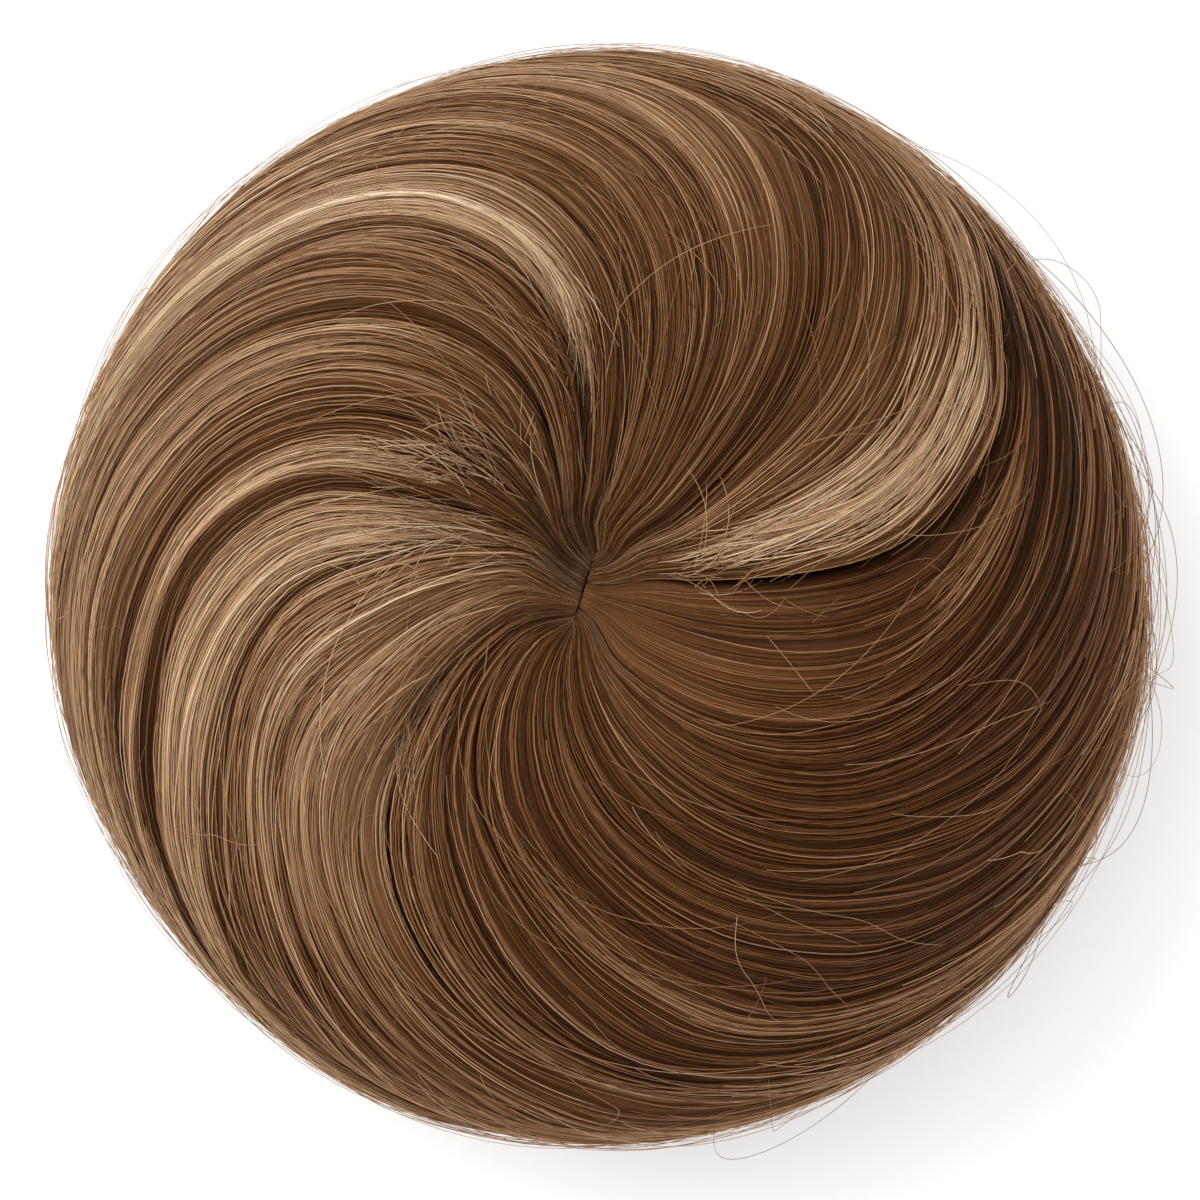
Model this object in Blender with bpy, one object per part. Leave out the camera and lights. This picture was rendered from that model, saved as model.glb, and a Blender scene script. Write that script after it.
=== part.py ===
"""Top knot hairpiece: a round false-hair bun of thirteen swirl locks, sewn to a cap with an elastic.

The frame stands on the flat underside of the elastic band. +Z is up, and +X is to the right and +Y
is up as the bun is seen from above. Lengths are in metres, table shares are shares of the bun's
radius or height, and azimuths are in degrees, counter-clockwise from +X.
"""

import math

import bpy
import bmesh
from mathutils import Vector

# Driving dimensions
BUN_DIAMETER = 0.110
BUN_HEIGHT = 0.055
WHORL_PLACE = Vector((-0.0016, 0.0008, 0.0))
WHORL_SLIT_STRETCH = 0.0014
WHORL_SLIT_AZIMUTH = 73.0
LOCK_GAP = 0.0004
SEAT_GAP = 0.0008
CAP_WALL = 0.0012
BAND_INNER_RADIUS = 0.0255
BAND_OUTER_RADIUS = 0.0303
BAND_HEIGHT = 0.0055
BAND_CORNER = 0.0006
BAND_TO_CAP_GAP = 0.0003

# How finely the faceted solids are cut
LOCK_STATIONS = 28
OUTER_SHARES = (0.0, 0.10, 0.26, 0.42, 0.58, 0.74, 0.90, 1.0)
INNER_SHARES = (0.0, 0.25, 0.50, 0.75, 1.0)
CAP_SEGMENTS = 40
CAP_STATIONS = 8
BAND_SEGMENTS = 48

# The hair's outer skin and its seat on the cap, from the whorl over the crest to the tuck
PROFILE_COLUMNS = ("station", "outer_radius", "outer_height", "inner_radius", "inner_height")
PROFILE = (
    ("whorl", 0.045, 0.745, 0.045, 0.715),
    ("pit_wall", 0.078, 0.830, 0.090, 0.716),
    ("dimple", 0.155, 0.905, 0.165, 0.720),
    ("inner_crest", 0.290, 0.972, 0.280, 0.722),
    ("crest", 0.460, 1.000, 0.400, 0.710),
    ("shoulder", 0.680, 0.955, 0.520, 0.675),
    ("upper_side", 0.865, 0.820, 0.635, 0.600),
    ("side", 0.964, 0.655, 0.710, 0.490),
    ("widest", 1.000, 0.470, 0.740, 0.380),
    ("lower_side", 0.965, 0.280, 0.720, 0.275),
    ("turn_under", 0.860, 0.125, 0.665, 0.190),
    ("tuck", 0.715, 0.045, 0.610, 0.135),
    ("tuck_end", 0.580, 0.025, 0.565, 0.110),
)

# Where each lock begins, clockwise side, at these distances from the bun's centre. A lock ends where
# the next one begins. Lifts, valleys and the groove along the middle are in millimetres.
TABLE_RADII = (0.006, 0.010, 0.020, 0.030, 0.040, 0.045, 0.050, 0.053)
LOCK_COLUMNS = (
    "name", "azimuths", "lift", "clockwise_valley", "counter_valley", "groove", "tone",
)
LOCKS = (
    ("lock_01", (8, 5, 5, 9, 20, 27, 38, 48), 1.2, 0.3, 2.2, 0.7, "golden"),
    ("lock_02", (42, 39, 43, 48, 56, 61, 68, 80), 0.2, 2.0, 2.2, 0.9, "brown"),
    ("lock_03", (86, 81, 81, 86, 97, 107, 124, 143), 0.0, 1.6, 2.6, 0.3, "golden"),
    ("lock_04", (96, 92, 93, 100, 114, 126, 147, 164), -0.2, 2.8, 1.6, 0.4, "mauve"),
    ("lock_05", (109, 104, 106, 118, 136, 148, 166, 189), 0.1, 1.6, 2.0, 0.5, "brown"),
    ("lock_06", (123, 123, 131, 143, 161, 176, 196, 214), 0.0, 1.8, 2.2, 0.5, "brown"),
    ("lock_07", (136, 142, 152, 160, 177, 193, 208, 224), -0.3, 2.6, 2.6, 0.2, "golden"),
    ("lock_08", (147, 156, 171, 183, 205, 215, 226, 236), 0.5, 1.4, 2.4, 0.6, "brown"),
    ("lock_09", (197, 202, 215, 226, 244, 256, 272, 284), -0.2, 2.8, 1.6, 0.3, "mauve"),
    ("lock_10", (215, 219, 235, 255, 272, 281, 297, 315), 0.1, 1.6, 1.8, 0.8, "brown"),
    ("lock_11", (255, 258, 273, 290, 309, 319, 336, 350), 0.0, 1.8, 1.8, 0.7, "dark"),
    ("lock_12", (281, 285, 298, 312, 331, 341, 357, 372), 0.0, 1.8, 1.6, 0.4, "dark"),
    ("lock_13", (296, 303, 319, 336, 360, 375, 392, 405), 0.1, 1.4, 3.2, 0.5, "reddish"),
)

# How much further every lock turns as it wraps down the side and under the rim
LOWER_TURN_COLUMNS = ("station", "further_turn")
LOWER_TURN = (
    ("widest", 30.0),
    ("lower_side", 26.0),
    ("turn_under", 18.0),
    ("tuck", 10.0),
    ("tuck_end", 4.0),
)

# The locks' widths are drawn towards equal ones by these shares at the whorl and at the tuck
WHORL_EVENING = 0.55
TUCK_EVENING = 0.60
# A valley, a groove or a lift is never deeper than this share of the hair's thickness
DEEPEST_SHARE = 0.38
# How suddenly a lock's surface falls at its edges, and how narrow its middle groove is
VALLEY_POWER = 3
GROOVE_POWER = 6
# Extra stations close to the whorl, where the hair bends over the lip of the dimple
WHORL_STATION_WEIGHT = 2.5
WHORL_STATION_REACH = 0.010
# The seat is round, and follows the whorl's offset only this near to the middle
SEAT_SHIFT_RADIUS = 0.020
# Steps for measuring along the skin
FINE_STEPS = 400
HALVINGS = 40

TONES = {
    "golden": (0.50, 0.33, 0.17, 1.0),
    "brown": (0.27, 0.14, 0.06, 1.0),
    "mauve": (0.25, 0.15, 0.10, 1.0),
    "reddish": (0.30, 0.13, 0.05, 1.0),
    "dark": (0.14, 0.06, 0.025, 1.0),
    "cap": (0.10, 0.06, 0.04, 1.0),
    "band": (0.03, 0.025, 0.02, 1.0),
}
HAIR_ROUGHNESS = 0.45
CLOTH_ROUGHNESS = 0.85

SHARP_EDGE = 60.0
MILLIMETRE = 0.001
FULL_TURN = 360.0


def clear_scene():
    """Start from an empty scene."""
    for thing in list(bpy.data.objects):
        bpy.data.objects.remove(thing)


def smooth_through(xs, ys, x):
    """The value at x of the smooth curve through the points (xs, ys)."""
    last = len(xs) - 1
    i = 0
    while i < last - 1 and x > xs[i + 1]:
        i += 1

    def slope(k):
        low, high = max(k - 1, 0), min(k + 1, last)
        return (ys[high] - ys[low]) / (xs[high] - xs[low])

    span = xs[i + 1] - xs[i]
    t = min(max((x - xs[i]) / span, 0.0), 1.0)
    return (
        (2 * t**3 - 3 * t**2 + 1) * ys[i]
        + (t**3 - 2 * t**2 + t) * span * slope(i)
        + (3 * t**2 - 2 * t**3) * ys[i + 1]
        + (t**3 - t**2) * span * slope(i + 1)
    )


class Skin:
    """The bun's profile, read by the length s along its outer line from the whorl."""

    def __init__(self):
        rows = [dict(zip(PROFILE_COLUMNS, row)) for row in PROFILE]
        self.outer_r = [row["outer_radius"] * BUN_DIAMETER / 2 for row in rows]
        self.outer_z = [row["outer_height"] * BUN_HEIGHT for row in rows]
        self.inner_r = [row["inner_radius"] * BUN_DIAMETER / 2 for row in rows]
        self.inner_z = [row["inner_height"] * BUN_HEIGHT for row in rows]
        self.s = [0.0]
        for i in range(1, len(rows)):
            step = math.hypot(
                self.outer_r[i] - self.outer_r[i - 1], self.outer_z[i] - self.outer_z[i - 1]
            )
            self.s.append(self.s[-1] + step)
        self.length = self.s[-1]
        self.at = {row["station"]: s for row, s in zip(rows, self.s)}

    def outer(self, s):
        return smooth_through(self.s, self.outer_r, s), smooth_through(self.s, self.outer_z, s)

    def inner(self, s):
        return smooth_through(self.s, self.inner_r, s), smooth_through(self.s, self.inner_z, s)

    def s_at_radius(self, radius):
        """The length along the upper skin at which its radius is this."""
        low, high = 0.0, self.at["widest"]
        for _ in range(HALVINGS):
            middle = (low + high) / 2
            if self.outer(middle)[0] < radius:
                low = middle
            else:
                high = middle
        return low

    def point(self, s, azimuth, depth):
        """A point of the hair at this depth below the outer skin, or on its seat for a depth of None."""
        turn = math.radians(azimuth)
        outward = Vector((math.cos(turn), math.sin(turn), 0.0))
        outer_r, outer_z = self.outer(s)
        inner_r, inner_z = self.inner(s)
        slit = math.radians(WHORL_SLIT_AZIMUTH)
        along_slit = Vector((math.cos(slit), math.sin(slit), 0.0))
        near_whorl = math.exp(-s / WHORL_STATION_REACH)
        stretch = along_slit * (outward.dot(along_slit) * WHORL_SLIT_STRETCH * near_whorl)
        outer_shift = WHORL_PLACE * (1.0 - 2.0 * outer_r / BUN_DIAMETER)
        inner_shift = WHORL_PLACE * max(0.0, 1.0 - inner_r / SEAT_SHIFT_RADIUS)
        top = outward * outer_r + outer_shift + stretch + Vector((0.0, 0.0, outer_z))
        seat = outward * inner_r + inner_shift + stretch + Vector((0.0, 0.0, inner_z))
        if depth is None:
            return seat
        inwards = seat - top
        thickness = inwards.length
        limit = DEEPEST_SHARE * thickness
        return top + inwards * (min(max(depth, -limit), limit) / thickness)


class Boundaries:
    """The swirl lines between the locks: azimuth of line k at the length s along the skin."""

    def __init__(self, skin):
        self.skin = skin
        starts = [row[1] for row in LOCKS]
        starts.append(tuple(azimuth + FULL_TURN for azimuth in starts[0]))
        count = len(LOCKS)
        turns = [dict(zip(LOWER_TURN_COLUMNS, row)) for row in LOWER_TURN]
        self.s = [0.0]
        self.s += [skin.s_at_radius(radius) for radius in TABLE_RADII]
        self.s += [skin.at[row["station"]] for row in turns]
        columns = [self.evened([line[0] for line in starts], WHORL_EVENING)]
        columns += [[line[i] for line in starts] for i in range(len(TABLE_RADII))]
        rim = columns[-1]
        further = 0.0
        for row in turns:
            further += row["further_turn"]
            share = TUCK_EVENING * further / sum(row["further_turn"] for row in turns)
            columns.append([azimuth + further for azimuth in self.evened(rim, share)])
        self.lines = [[column[k] for column in columns] for k in range(count + 1)]

    @staticmethod
    def evened(azimuths, share):
        """The azimuths drawn towards equal steps round the same mean."""
        count = len(azimuths) - 1
        even = [FULL_TURN * k / count for k in range(count + 1)]
        offset = sum(a - e for a, e in zip(azimuths[:count], even)) / count
        return [a * (1 - share) + (e + offset) * share for a, e in zip(azimuths, even)]

    def azimuth(self, k, s):
        return smooth_through(self.s, self.lines[k], s)

    def half_gap(self, k, s):
        """Half the gap between two locks, as an azimuth, so that it stays LOCK_GAP across them."""
        step = self.skin.length / FINE_STEPS
        low, high = max(s - step, 0.0), min(s + step, self.skin.length)
        turn = math.radians(self.azimuth(k, high) - self.azimuth(k, low))
        widest = 0.0
        for read in (self.skin.outer, self.skin.inner):
            (r0, z0), (r1, z1) = read(low), read(high)
            radius = read(s)[0]
            rise = math.hypot(r1 - r0, z1 - z0)
            slant = rise / math.hypot(rise, radius * turn)
            widest = max(widest, LOCK_GAP / 2 / (radius * slant))
        return math.degrees(widest)


def station_lengths(skin, boundaries):
    """Stations along the skin, evenly spread along a lock's own run and closer by the whorl."""
    runs = [0.0]
    for i in range(FINE_STEPS):
        s0, s1 = skin.length * i / FINE_STEPS, skin.length * (i + 1) / FINE_STEPS
        radius = skin.outer((s0 + s1) / 2)[0]
        turn = math.radians(boundaries.azimuth(0, s1) - boundaries.azimuth(0, s0))
        weight = 1.0 + WHORL_STATION_WEIGHT * math.exp(-s0 / WHORL_STATION_REACH)
        runs.append(runs[-1] + weight * math.hypot(s1 - s0, radius * turn))
    lengths = []
    i = 0
    for station in range(LOCK_STATIONS):
        goal = runs[-1] * station / (LOCK_STATIONS - 1)
        while i < FINE_STEPS - 1 and runs[i + 1] < goal:
            i += 1
        share = (goal - runs[i]) / (runs[i + 1] - runs[i])
        lengths.append(skin.length * (i + share) / FINE_STEPS)
    return lengths


def skin_depth(skin, row, share, s):
    """How far below the skin a lock's surface lies, from its clockwise edge to the other."""
    valley = row["clockwise_valley"] if share < 0.5 else row["counter_valley"]
    edge = abs(2.0 * share - 1.0) ** VALLEY_POWER
    middle = math.cos(math.pi * (share - 0.5)) ** GROOVE_POWER
    rim_share = (s - skin.at["shoulder"]) / (skin.at["widest"] - skin.at["shoulder"])
    lift = row["lift"] * (1.0 - min(max(rim_share, 0.0), 1.0))
    return (valley * edge + row["groove"] * middle - lift * (1.0 - edge)) * MILLIMETRE


def lock_section(skin, boundaries, k, row, s):
    """The ring of points round a lock at one station: its skin, then its seat on the way back."""
    first = boundaries.azimuth(k, s) + boundaries.half_gap(k, s)
    last = boundaries.azimuth(k + 1, s) - boundaries.half_gap(k + 1, s)
    ring = []
    for share in OUTER_SHARES:
        depth = skin_depth(skin, row, share, s)
        ring.append(skin.point(s, first + (last - first) * share, depth))
    for share in reversed(INNER_SHARES):
        ring.append(skin.point(s, first + (last - first) * share, None))
    return ring


def close_end(mesh, ring, forwards):
    """Close a lock's end with triangles between its skin row and its seat row."""
    skin_row = ring[:len(OUTER_SHARES)]
    seat_row = ring[len(OUTER_SHARES):][::-1]
    i, j = 0, 0
    while i < len(skin_row) - 1 or j < len(seat_row) - 1:
        seat_ends = j == len(seat_row) - 1
        skin_is_next = i < len(skin_row) - 1 and (
            seat_ends or OUTER_SHARES[i + 1] <= INNER_SHARES[j + 1]
        )
        if skin_is_next:
            corners = [skin_row[i], skin_row[i + 1], seat_row[j]]
            i += 1
        else:
            corners = [skin_row[i], seat_row[j + 1], seat_row[j]]
            j += 1
        mesh.faces.new(corners if forwards else corners[::-1])


def join_rings(mesh, ring, following):
    """Two triangles between each pair of neighbouring points, split along the shorter diagonal."""
    count = len(ring)
    for i in range(count):
        a, b = ring[i], ring[(i + 1) % count]
        c, d = following[(i + 1) % count], following[i]
        if (a.co - c.co).length <= (b.co - d.co).length:
            mesh.faces.new((a, b, c))
            mesh.faces.new((a, c, d))
        else:
            mesh.faces.new((a, b, d))
            mesh.faces.new((b, c, d))


def finish_node(mesh, name, tone, roughness):
    """Turn a bmesh into a named object with its own material, faces outward and shaded smooth."""
    bmesh.ops.recalc_face_normals(mesh, faces=mesh.faces)
    data = bpy.data.meshes.new(name)
    mesh.to_mesh(data)
    mesh.free()
    data.shade_smooth()
    data.set_sharp_from_angle(angle=math.radians(SHARP_EDGE))
    node = bpy.data.objects.new(name, data)
    bpy.context.scene.collection.objects.link(node)
    material = bpy.data.materials.new(name)
    material.use_nodes = True
    shader = material.node_tree.nodes["Principled BSDF"]
    shader.inputs["Base Color"].default_value = TONES[tone]
    shader.inputs["Roughness"].default_value = roughness
    shader.inputs["Metallic"].default_value = 0.0
    data.materials.append(material)
    return node


def make_lock(skin, boundaries, lengths, k):
    """One swirl lock, from the whorl over the crest, round the rim and under it."""
    row = dict(zip(LOCK_COLUMNS, LOCKS[k]))
    mesh = bmesh.new()
    rings = []
    for s in lengths:
        rings.append([mesh.verts.new(p) for p in lock_section(skin, boundaries, k, row, s)])
    for ring, following in zip(rings, rings[1:]):
        join_rings(mesh, ring, following)
    close_end(mesh, rings[0], True)
    close_end(mesh, rings[-1], False)
    return finish_node(mesh, row["name"], row["tone"], HAIR_ROUGHNESS)


def turned_solid(profile, segments, name, tone):
    """A closed solid turned from (radius, height) points; a point on the axis becomes one vertex."""
    mesh = bmesh.new()
    rings = []
    for radius, height in profile:
        if radius == 0.0:
            rings.append([mesh.verts.new((0.0, 0.0, height))])
            continue
        ring = []
        for i in range(segments):
            turn = 2.0 * math.pi * i / segments
            ring.append(mesh.verts.new((radius * math.cos(turn), radius * math.sin(turn), height)))
        rings.append(ring)
    pairs = list(zip(rings, rings[1:]))
    if len(rings[0]) > 1:
        pairs.append((rings[-1], rings[0]))
    for ring, following in pairs:
        for i in range(segments):
            j = (i + 1) % segments
            if len(ring) == 1:
                mesh.faces.new((ring[0], following[j], following[i]))
            elif len(following) == 1:
                mesh.faces.new((ring[i], ring[j], following[0]))
            else:
                mesh.faces.new((ring[i], ring[j], following[j], following[i]))
    return finish_node(mesh, name, tone, CLOTH_ROUGHNESS)


def make_base_cap(skin):
    """The foundation cap: a thin dome under the locks, open at the bottom."""

    def offset_line(distance):
        line = []
        for i in range(CAP_STATIONS):
            s = skin.at["inner_crest"]
            s += (skin.length - s) * i / (CAP_STATIONS - 1)
            step = skin.length / FINE_STEPS
            (r0, z0), (r1, z1) = skin.inner(s - step), skin.inner(min(s + step, skin.length))
            run = math.hypot(r1 - r0, z1 - z0)
            radius, height = skin.inner(s)
            inward_r, inward_z = (z1 - z0) / run, -(r1 - r0) / run
            line.append((radius + inward_r * distance, height + inward_z * distance))
        return line

    outside = offset_line(SEAT_GAP)
    inside = offset_line(SEAT_GAP + CAP_WALL)
    rim_height = BAND_HEIGHT + BAND_TO_CAP_GAP
    outside = [point for point in outside if point[1] > rim_height]
    inside = [point for point in inside if point[1] > rim_height]
    rim_radius = outside[-1][0]
    profile = [(0.0, outside[0][1])] + outside
    profile += [(rim_radius, rim_height), (rim_radius - CAP_WALL, rim_height)]
    profile += inside[::-1] + [(0.0, inside[0][1])]
    return turned_solid(profile, CAP_SEGMENTS, "base_cap", "cap")


def make_elastic_band():
    """The elastic at the cap's mouth: a flat-bottomed ring with eased corners."""
    low, high = 0.0, BAND_HEIGHT
    near, far = BAND_INNER_RADIUS, BAND_OUTER_RADIUS
    profile = [
        (near + BAND_CORNER, low),
        (far - BAND_CORNER, low),
        (far, low + BAND_CORNER),
        (far, high - BAND_CORNER),
        (far - BAND_CORNER, high),
        (near + BAND_CORNER, high),
        (near, high - BAND_CORNER),
        (near, low + BAND_CORNER),
    ]
    return turned_solid(profile, BAND_SEGMENTS, "elastic_band", "band")


clear_scene()
bun_skin = Skin()
swirl = Boundaries(bun_skin)
stations = station_lengths(bun_skin, swirl)
for lock_index in range(len(LOCKS)):
    make_lock(bun_skin, swirl, stations, lock_index)
make_base_cap(bun_skin)
make_elastic_band()
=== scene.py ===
import math

import bpy
import numpy as np
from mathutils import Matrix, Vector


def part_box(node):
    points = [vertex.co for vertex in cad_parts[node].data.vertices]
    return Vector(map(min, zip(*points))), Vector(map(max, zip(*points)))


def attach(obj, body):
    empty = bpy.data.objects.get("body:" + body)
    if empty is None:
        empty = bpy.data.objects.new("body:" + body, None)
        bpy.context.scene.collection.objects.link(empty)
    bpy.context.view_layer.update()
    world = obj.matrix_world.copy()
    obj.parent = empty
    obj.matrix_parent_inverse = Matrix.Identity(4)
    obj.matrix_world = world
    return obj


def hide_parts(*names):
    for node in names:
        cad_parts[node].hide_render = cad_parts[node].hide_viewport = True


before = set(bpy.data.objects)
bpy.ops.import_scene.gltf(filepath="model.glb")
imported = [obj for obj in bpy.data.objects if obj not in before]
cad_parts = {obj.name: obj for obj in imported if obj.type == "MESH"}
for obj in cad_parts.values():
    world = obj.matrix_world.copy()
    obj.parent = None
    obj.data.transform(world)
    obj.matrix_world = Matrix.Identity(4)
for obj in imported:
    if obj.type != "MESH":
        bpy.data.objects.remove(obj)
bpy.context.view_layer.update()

# The elastic band
# The mouth is gathered over a ring of woven elastic, which grips the base of the wearer's own knot.
# Its casing is dark brown cloth, ruched all round, and the hairpiece stands on its flat edge.
MILLIMETRE = 0.001
BAND_WIDTH = 4.8 * MILLIMETRE
BAND_ROUNDS = 480
BAND_SECTION = 22
BAND_SQUARENESS = 0.45
GATHERS = 66
GATHER_DEPTH = 0.45 * MILLIMETRE
BAND_CLOTH_DARK = (0.012, 0.009, 0.007, 1.0)
BAND_CLOTH_LIGHT = (0.045, 0.034, 0.027, 1.0)
# How uneven the gathers are: size, waves round the band and phase
UNEVENNESS = ((0.35, 5.0, 0.6), (0.25, 13.0, 0.0))
SIZE_UNEVENNESS = 0.3
PLACE_UNEVENNESS = 2.0
FLAT_EDGE = 0.95
GATHERED_OVER = 0.6
CLOTH_BUMP = 0.6
FULL_TURN = 2.0 * math.pi
END_IN_MAP = 0.004


def placed(name, data):
    """A new object in the scene with this mesh, light or camera."""
    thing = bpy.data.objects.new(name, data)
    bpy.context.scene.collection.objects.link(thing)
    return thing


def closed_tube(name, rings, ends_meet):
    """A closed solid from rings of points, with a bake map and a map in rounds and section."""
    rings = np.asarray(rings, dtype=float)
    rounds, around = rings.shape[:2]
    points = [rings.reshape(-1, 3)]
    faces, maps = [], []
    spans = rounds if ends_meet else rounds - 1
    for i in range(spans):
        following = (i + 1) % rounds
        for j in range(around):
            beside = (j + 1) % around
            faces.append((i * around + j, i * around + beside,
                          following * around + beside, following * around + j))
            low, high = i / spans, (i + 1) / spans
            near, far = j / around, (j + 1) / around
            maps.append(((low, near), (low, far), (high, far), (high, near)))
    if not ends_meet:
        for end, place, inner, order in ((0, 0.0, END_IN_MAP, -1), (rounds - 1, 1.0, 1.0 - END_IN_MAP, 1)):
            middle = rounds * around + int(place)
            points.append(rings[end].mean(axis=0)[None, :])
            for j in range(around):
                corners = (end * around + j, end * around + (j + 1) % around, middle)
                spots = ((place, j / around), (place, (j + 1) / around), (inner, (j + 0.5) / around))
                faces.append(corners[::order])
                maps.append(spots[::order])
    mesh = bpy.data.meshes.new(name)
    mesh.from_pydata(np.concatenate(points).tolist(), [], faces)
    for map_name in ("OFBake", "rounds"):
        layer = mesh.uv_layers.new(name=map_name)
        layer.data.foreach_set("uv", np.array([c for f in maps for s in f for c in s]))
    if signed_volume(mesh) < 0.0:
        mesh.flip_normals()
    mesh.shade_smooth()
    return placed(name, mesh)


def signed_volume(mesh):
    """The volume that the faces enclose, below zero where they point inward."""
    mesh.calc_loop_triangles()
    corners = np.empty(len(mesh.loop_triangles) * 3, dtype=int)
    mesh.loop_triangles.foreach_get("vertices", corners)
    places = np.empty(len(mesh.vertices) * 3)
    mesh.vertices.foreach_get("co", places)
    a, b, c = places.reshape(-1, 3)[corners.reshape(-1, 3)].transpose(1, 0, 2)
    return float(np.einsum("ij,ij->i", a, np.cross(b, c)).sum() / 6.0)


def feed(tree, inputs, takes):
    """Give a node's inputs plain values, other nodes' outputs, or the first output of a node."""
    for name, value in takes.items():
        if isinstance(value, bpy.types.Node):
            value = value.outputs[0]
        if isinstance(value, bpy.types.NodeSocket):
            tree.links.new(value, inputs[name])
        else:
            inputs[name].default_value = value


def added(tree, kind, takes=(), **settings):
    """A new node of this kind, with these settings and what its inputs take."""
    node = tree.nodes.new(kind)
    for name, value in settings.items():
        setattr(node, name, value)
    feed(tree, node.inputs, dict(takes))
    return node


def worked(tree, operation, *values, **settings):
    """A node for one step of arithmetic on plain values or other nodes' outputs."""
    return added(tree, "ShaderNodeMath", enumerate(values), operation=operation, **settings)


def ramp_of(tree, share, *tones):
    """A colour ramp through these places and their colours, read at this share."""
    ramp = added(tree, "ShaderNodeValToRGB", {"Fac": share})
    stops = ramp.color_ramp.elements
    while len(stops) < len(tones):
        stops.new(0.5)
    for stop, (position, colour) in zip(stops, tones):
        stop.position = position
        stop.color = colour
    return ramp


def bump_of(tree, height, strength, distance):
    """A bump from this height."""
    return added(tree, "ShaderNodeBump", {"Strength": strength, "Distance": distance, "Height": height})


def new_group(name, kind, inputs, outputs):
    """A node group with these inputs and outputs, by name and kind, and what its input node gives."""
    tree = bpy.data.node_groups.new(name, kind)
    for direction, sockets in (("INPUT", inputs), ("OUTPUT", outputs)):
        for socket, value_kind in sockets.items():
            tree.interface.new_socket(socket, in_out=direction, socket_type="NodeSocket" + value_kind)
    return tree, tree.nodes.new("NodeGroupInput").outputs


def new_material(name, roughness):
    """A material with its node tree and the inputs of its Principled shader."""
    material = bpy.data.materials.new(name)
    material.use_nodes = True
    paint = material.node_tree.nodes["Principled BSDF"].inputs
    feed(material.node_tree, paint, {"Roughness": roughness, "Metallic": 0.0})
    return material, material.node_tree, paint


def woven_cloth_group():
    """Plain weave from a map in rounds and section: a thread mask and a mask of wear."""
    tree, entry = new_group(
        "woven_cloth", "ShaderNodeTree",
        {"Map": "Vector", "Warp Threads": "Float", "Weft Threads": "Float"},
        {"Threads": "Float", "Wear": "Float"},
    )
    split = added(tree, "ShaderNodeSeparateXYZ", {"Vector": entry["Map"]})
    waves = []
    for axis, count in (("X", "Warp Threads"), ("Y", "Weft Threads")):
        turns = worked(tree, "MULTIPLY", split.outputs[axis], entry[count])
        waves.append(worked(tree, "SINE", worked(tree, "MULTIPLY", turns, FULL_TURN)))
    threads = worked(tree, "MULTIPLY_ADD", worked(tree, "MULTIPLY", *waves), 0.5, 0.5)
    wear = added(tree, "ShaderNodeTexNoise", {"Vector": entry["Map"], "Scale": 40.0, "Detail": 4.0})
    added(tree, "NodeGroupOutput", {"Threads": threads, "Wear": wear})
    return tree


def cloth_material(name, warp, weft, dark, light, roughness, height):
    """Woven cloth: thread colours, uneven dye and a bump from the weave."""
    material, tree, paint = new_material(name, roughness)
    rounds = added(tree, "ShaderNodeUVMap", uv_map="rounds")
    weave = added(
        tree, "ShaderNodeGroup", {"Map": rounds, "Warp Threads": warp, "Weft Threads": weft},
        node_tree=woven_cloth,
    ).outputs
    shade = worked(tree, "MULTIPLY", weave["Threads"], weave["Wear"])
    feed(tree, paint, {"Base Color": ramp_of(tree, shade, (0.0, dark), (1.0, light)),
                       "Normal": bump_of(tree, weave["Threads"], CLOTH_BUMP, height)})
    return material


def ruched_band():
    """The band's rings of points: a rounded bar whose sides and top are gathered."""
    low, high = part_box("elastic_band")
    height = high[2] - low[2]
    middle = high[0] - BAND_WIDTH / 2
    turn = np.linspace(0.0, FULL_TURN, BAND_ROUNDS, endpoint=False)
    section = np.linspace(0.0, FULL_TURN, BAND_SECTION, endpoint=False)
    across = np.sign(np.cos(section)) * np.abs(np.cos(section)) ** BAND_SQUARENESS
    rise = np.sign(np.sin(section)) * np.abs(np.sin(section)) ** BAND_SQUARENESS
    uneven = sum(size * np.sin(waves * turn + phase) for size, waves, phase in UNEVENNESS)
    gather = 0.5 + 0.5 * np.cos(GATHERS * turn + PLACE_UNEVENNESS * uneven)
    gather = gather * (1.0 + SIZE_UNEVENNESS * uneven)
    above_floor = np.clip((rise + FLAT_EDGE) / GATHERED_OVER, 0.0, 1.0)
    pinch = GATHER_DEPTH * gather[:, None] * above_floor[None, :]
    radius = middle + across[None, :] * (BAND_WIDTH / 2 - pinch)
    tall = height / 2 + rise[None, :] * height / 2 - np.clip(rise, 0.0, 1.0)[None, :] * pinch
    return np.stack([radius * np.cos(turn)[:, None], radius * np.sin(turn)[:, None], tall], axis=2)


woven_cloth = woven_cloth_group()
band_cloth = cloth_material("elastic_casing", warp=900.0, weft=60.0, dark=BAND_CLOTH_DARK,
                            light=BAND_CLOTH_LIGHT, roughness=0.8, height=0.15 * MILLIMETRE)
elastic = closed_tube("elastic_ring", ruched_band(), True)
elastic.data.materials.append(band_cloth)
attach(elastic, "root")
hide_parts("elastic_band")

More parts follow.
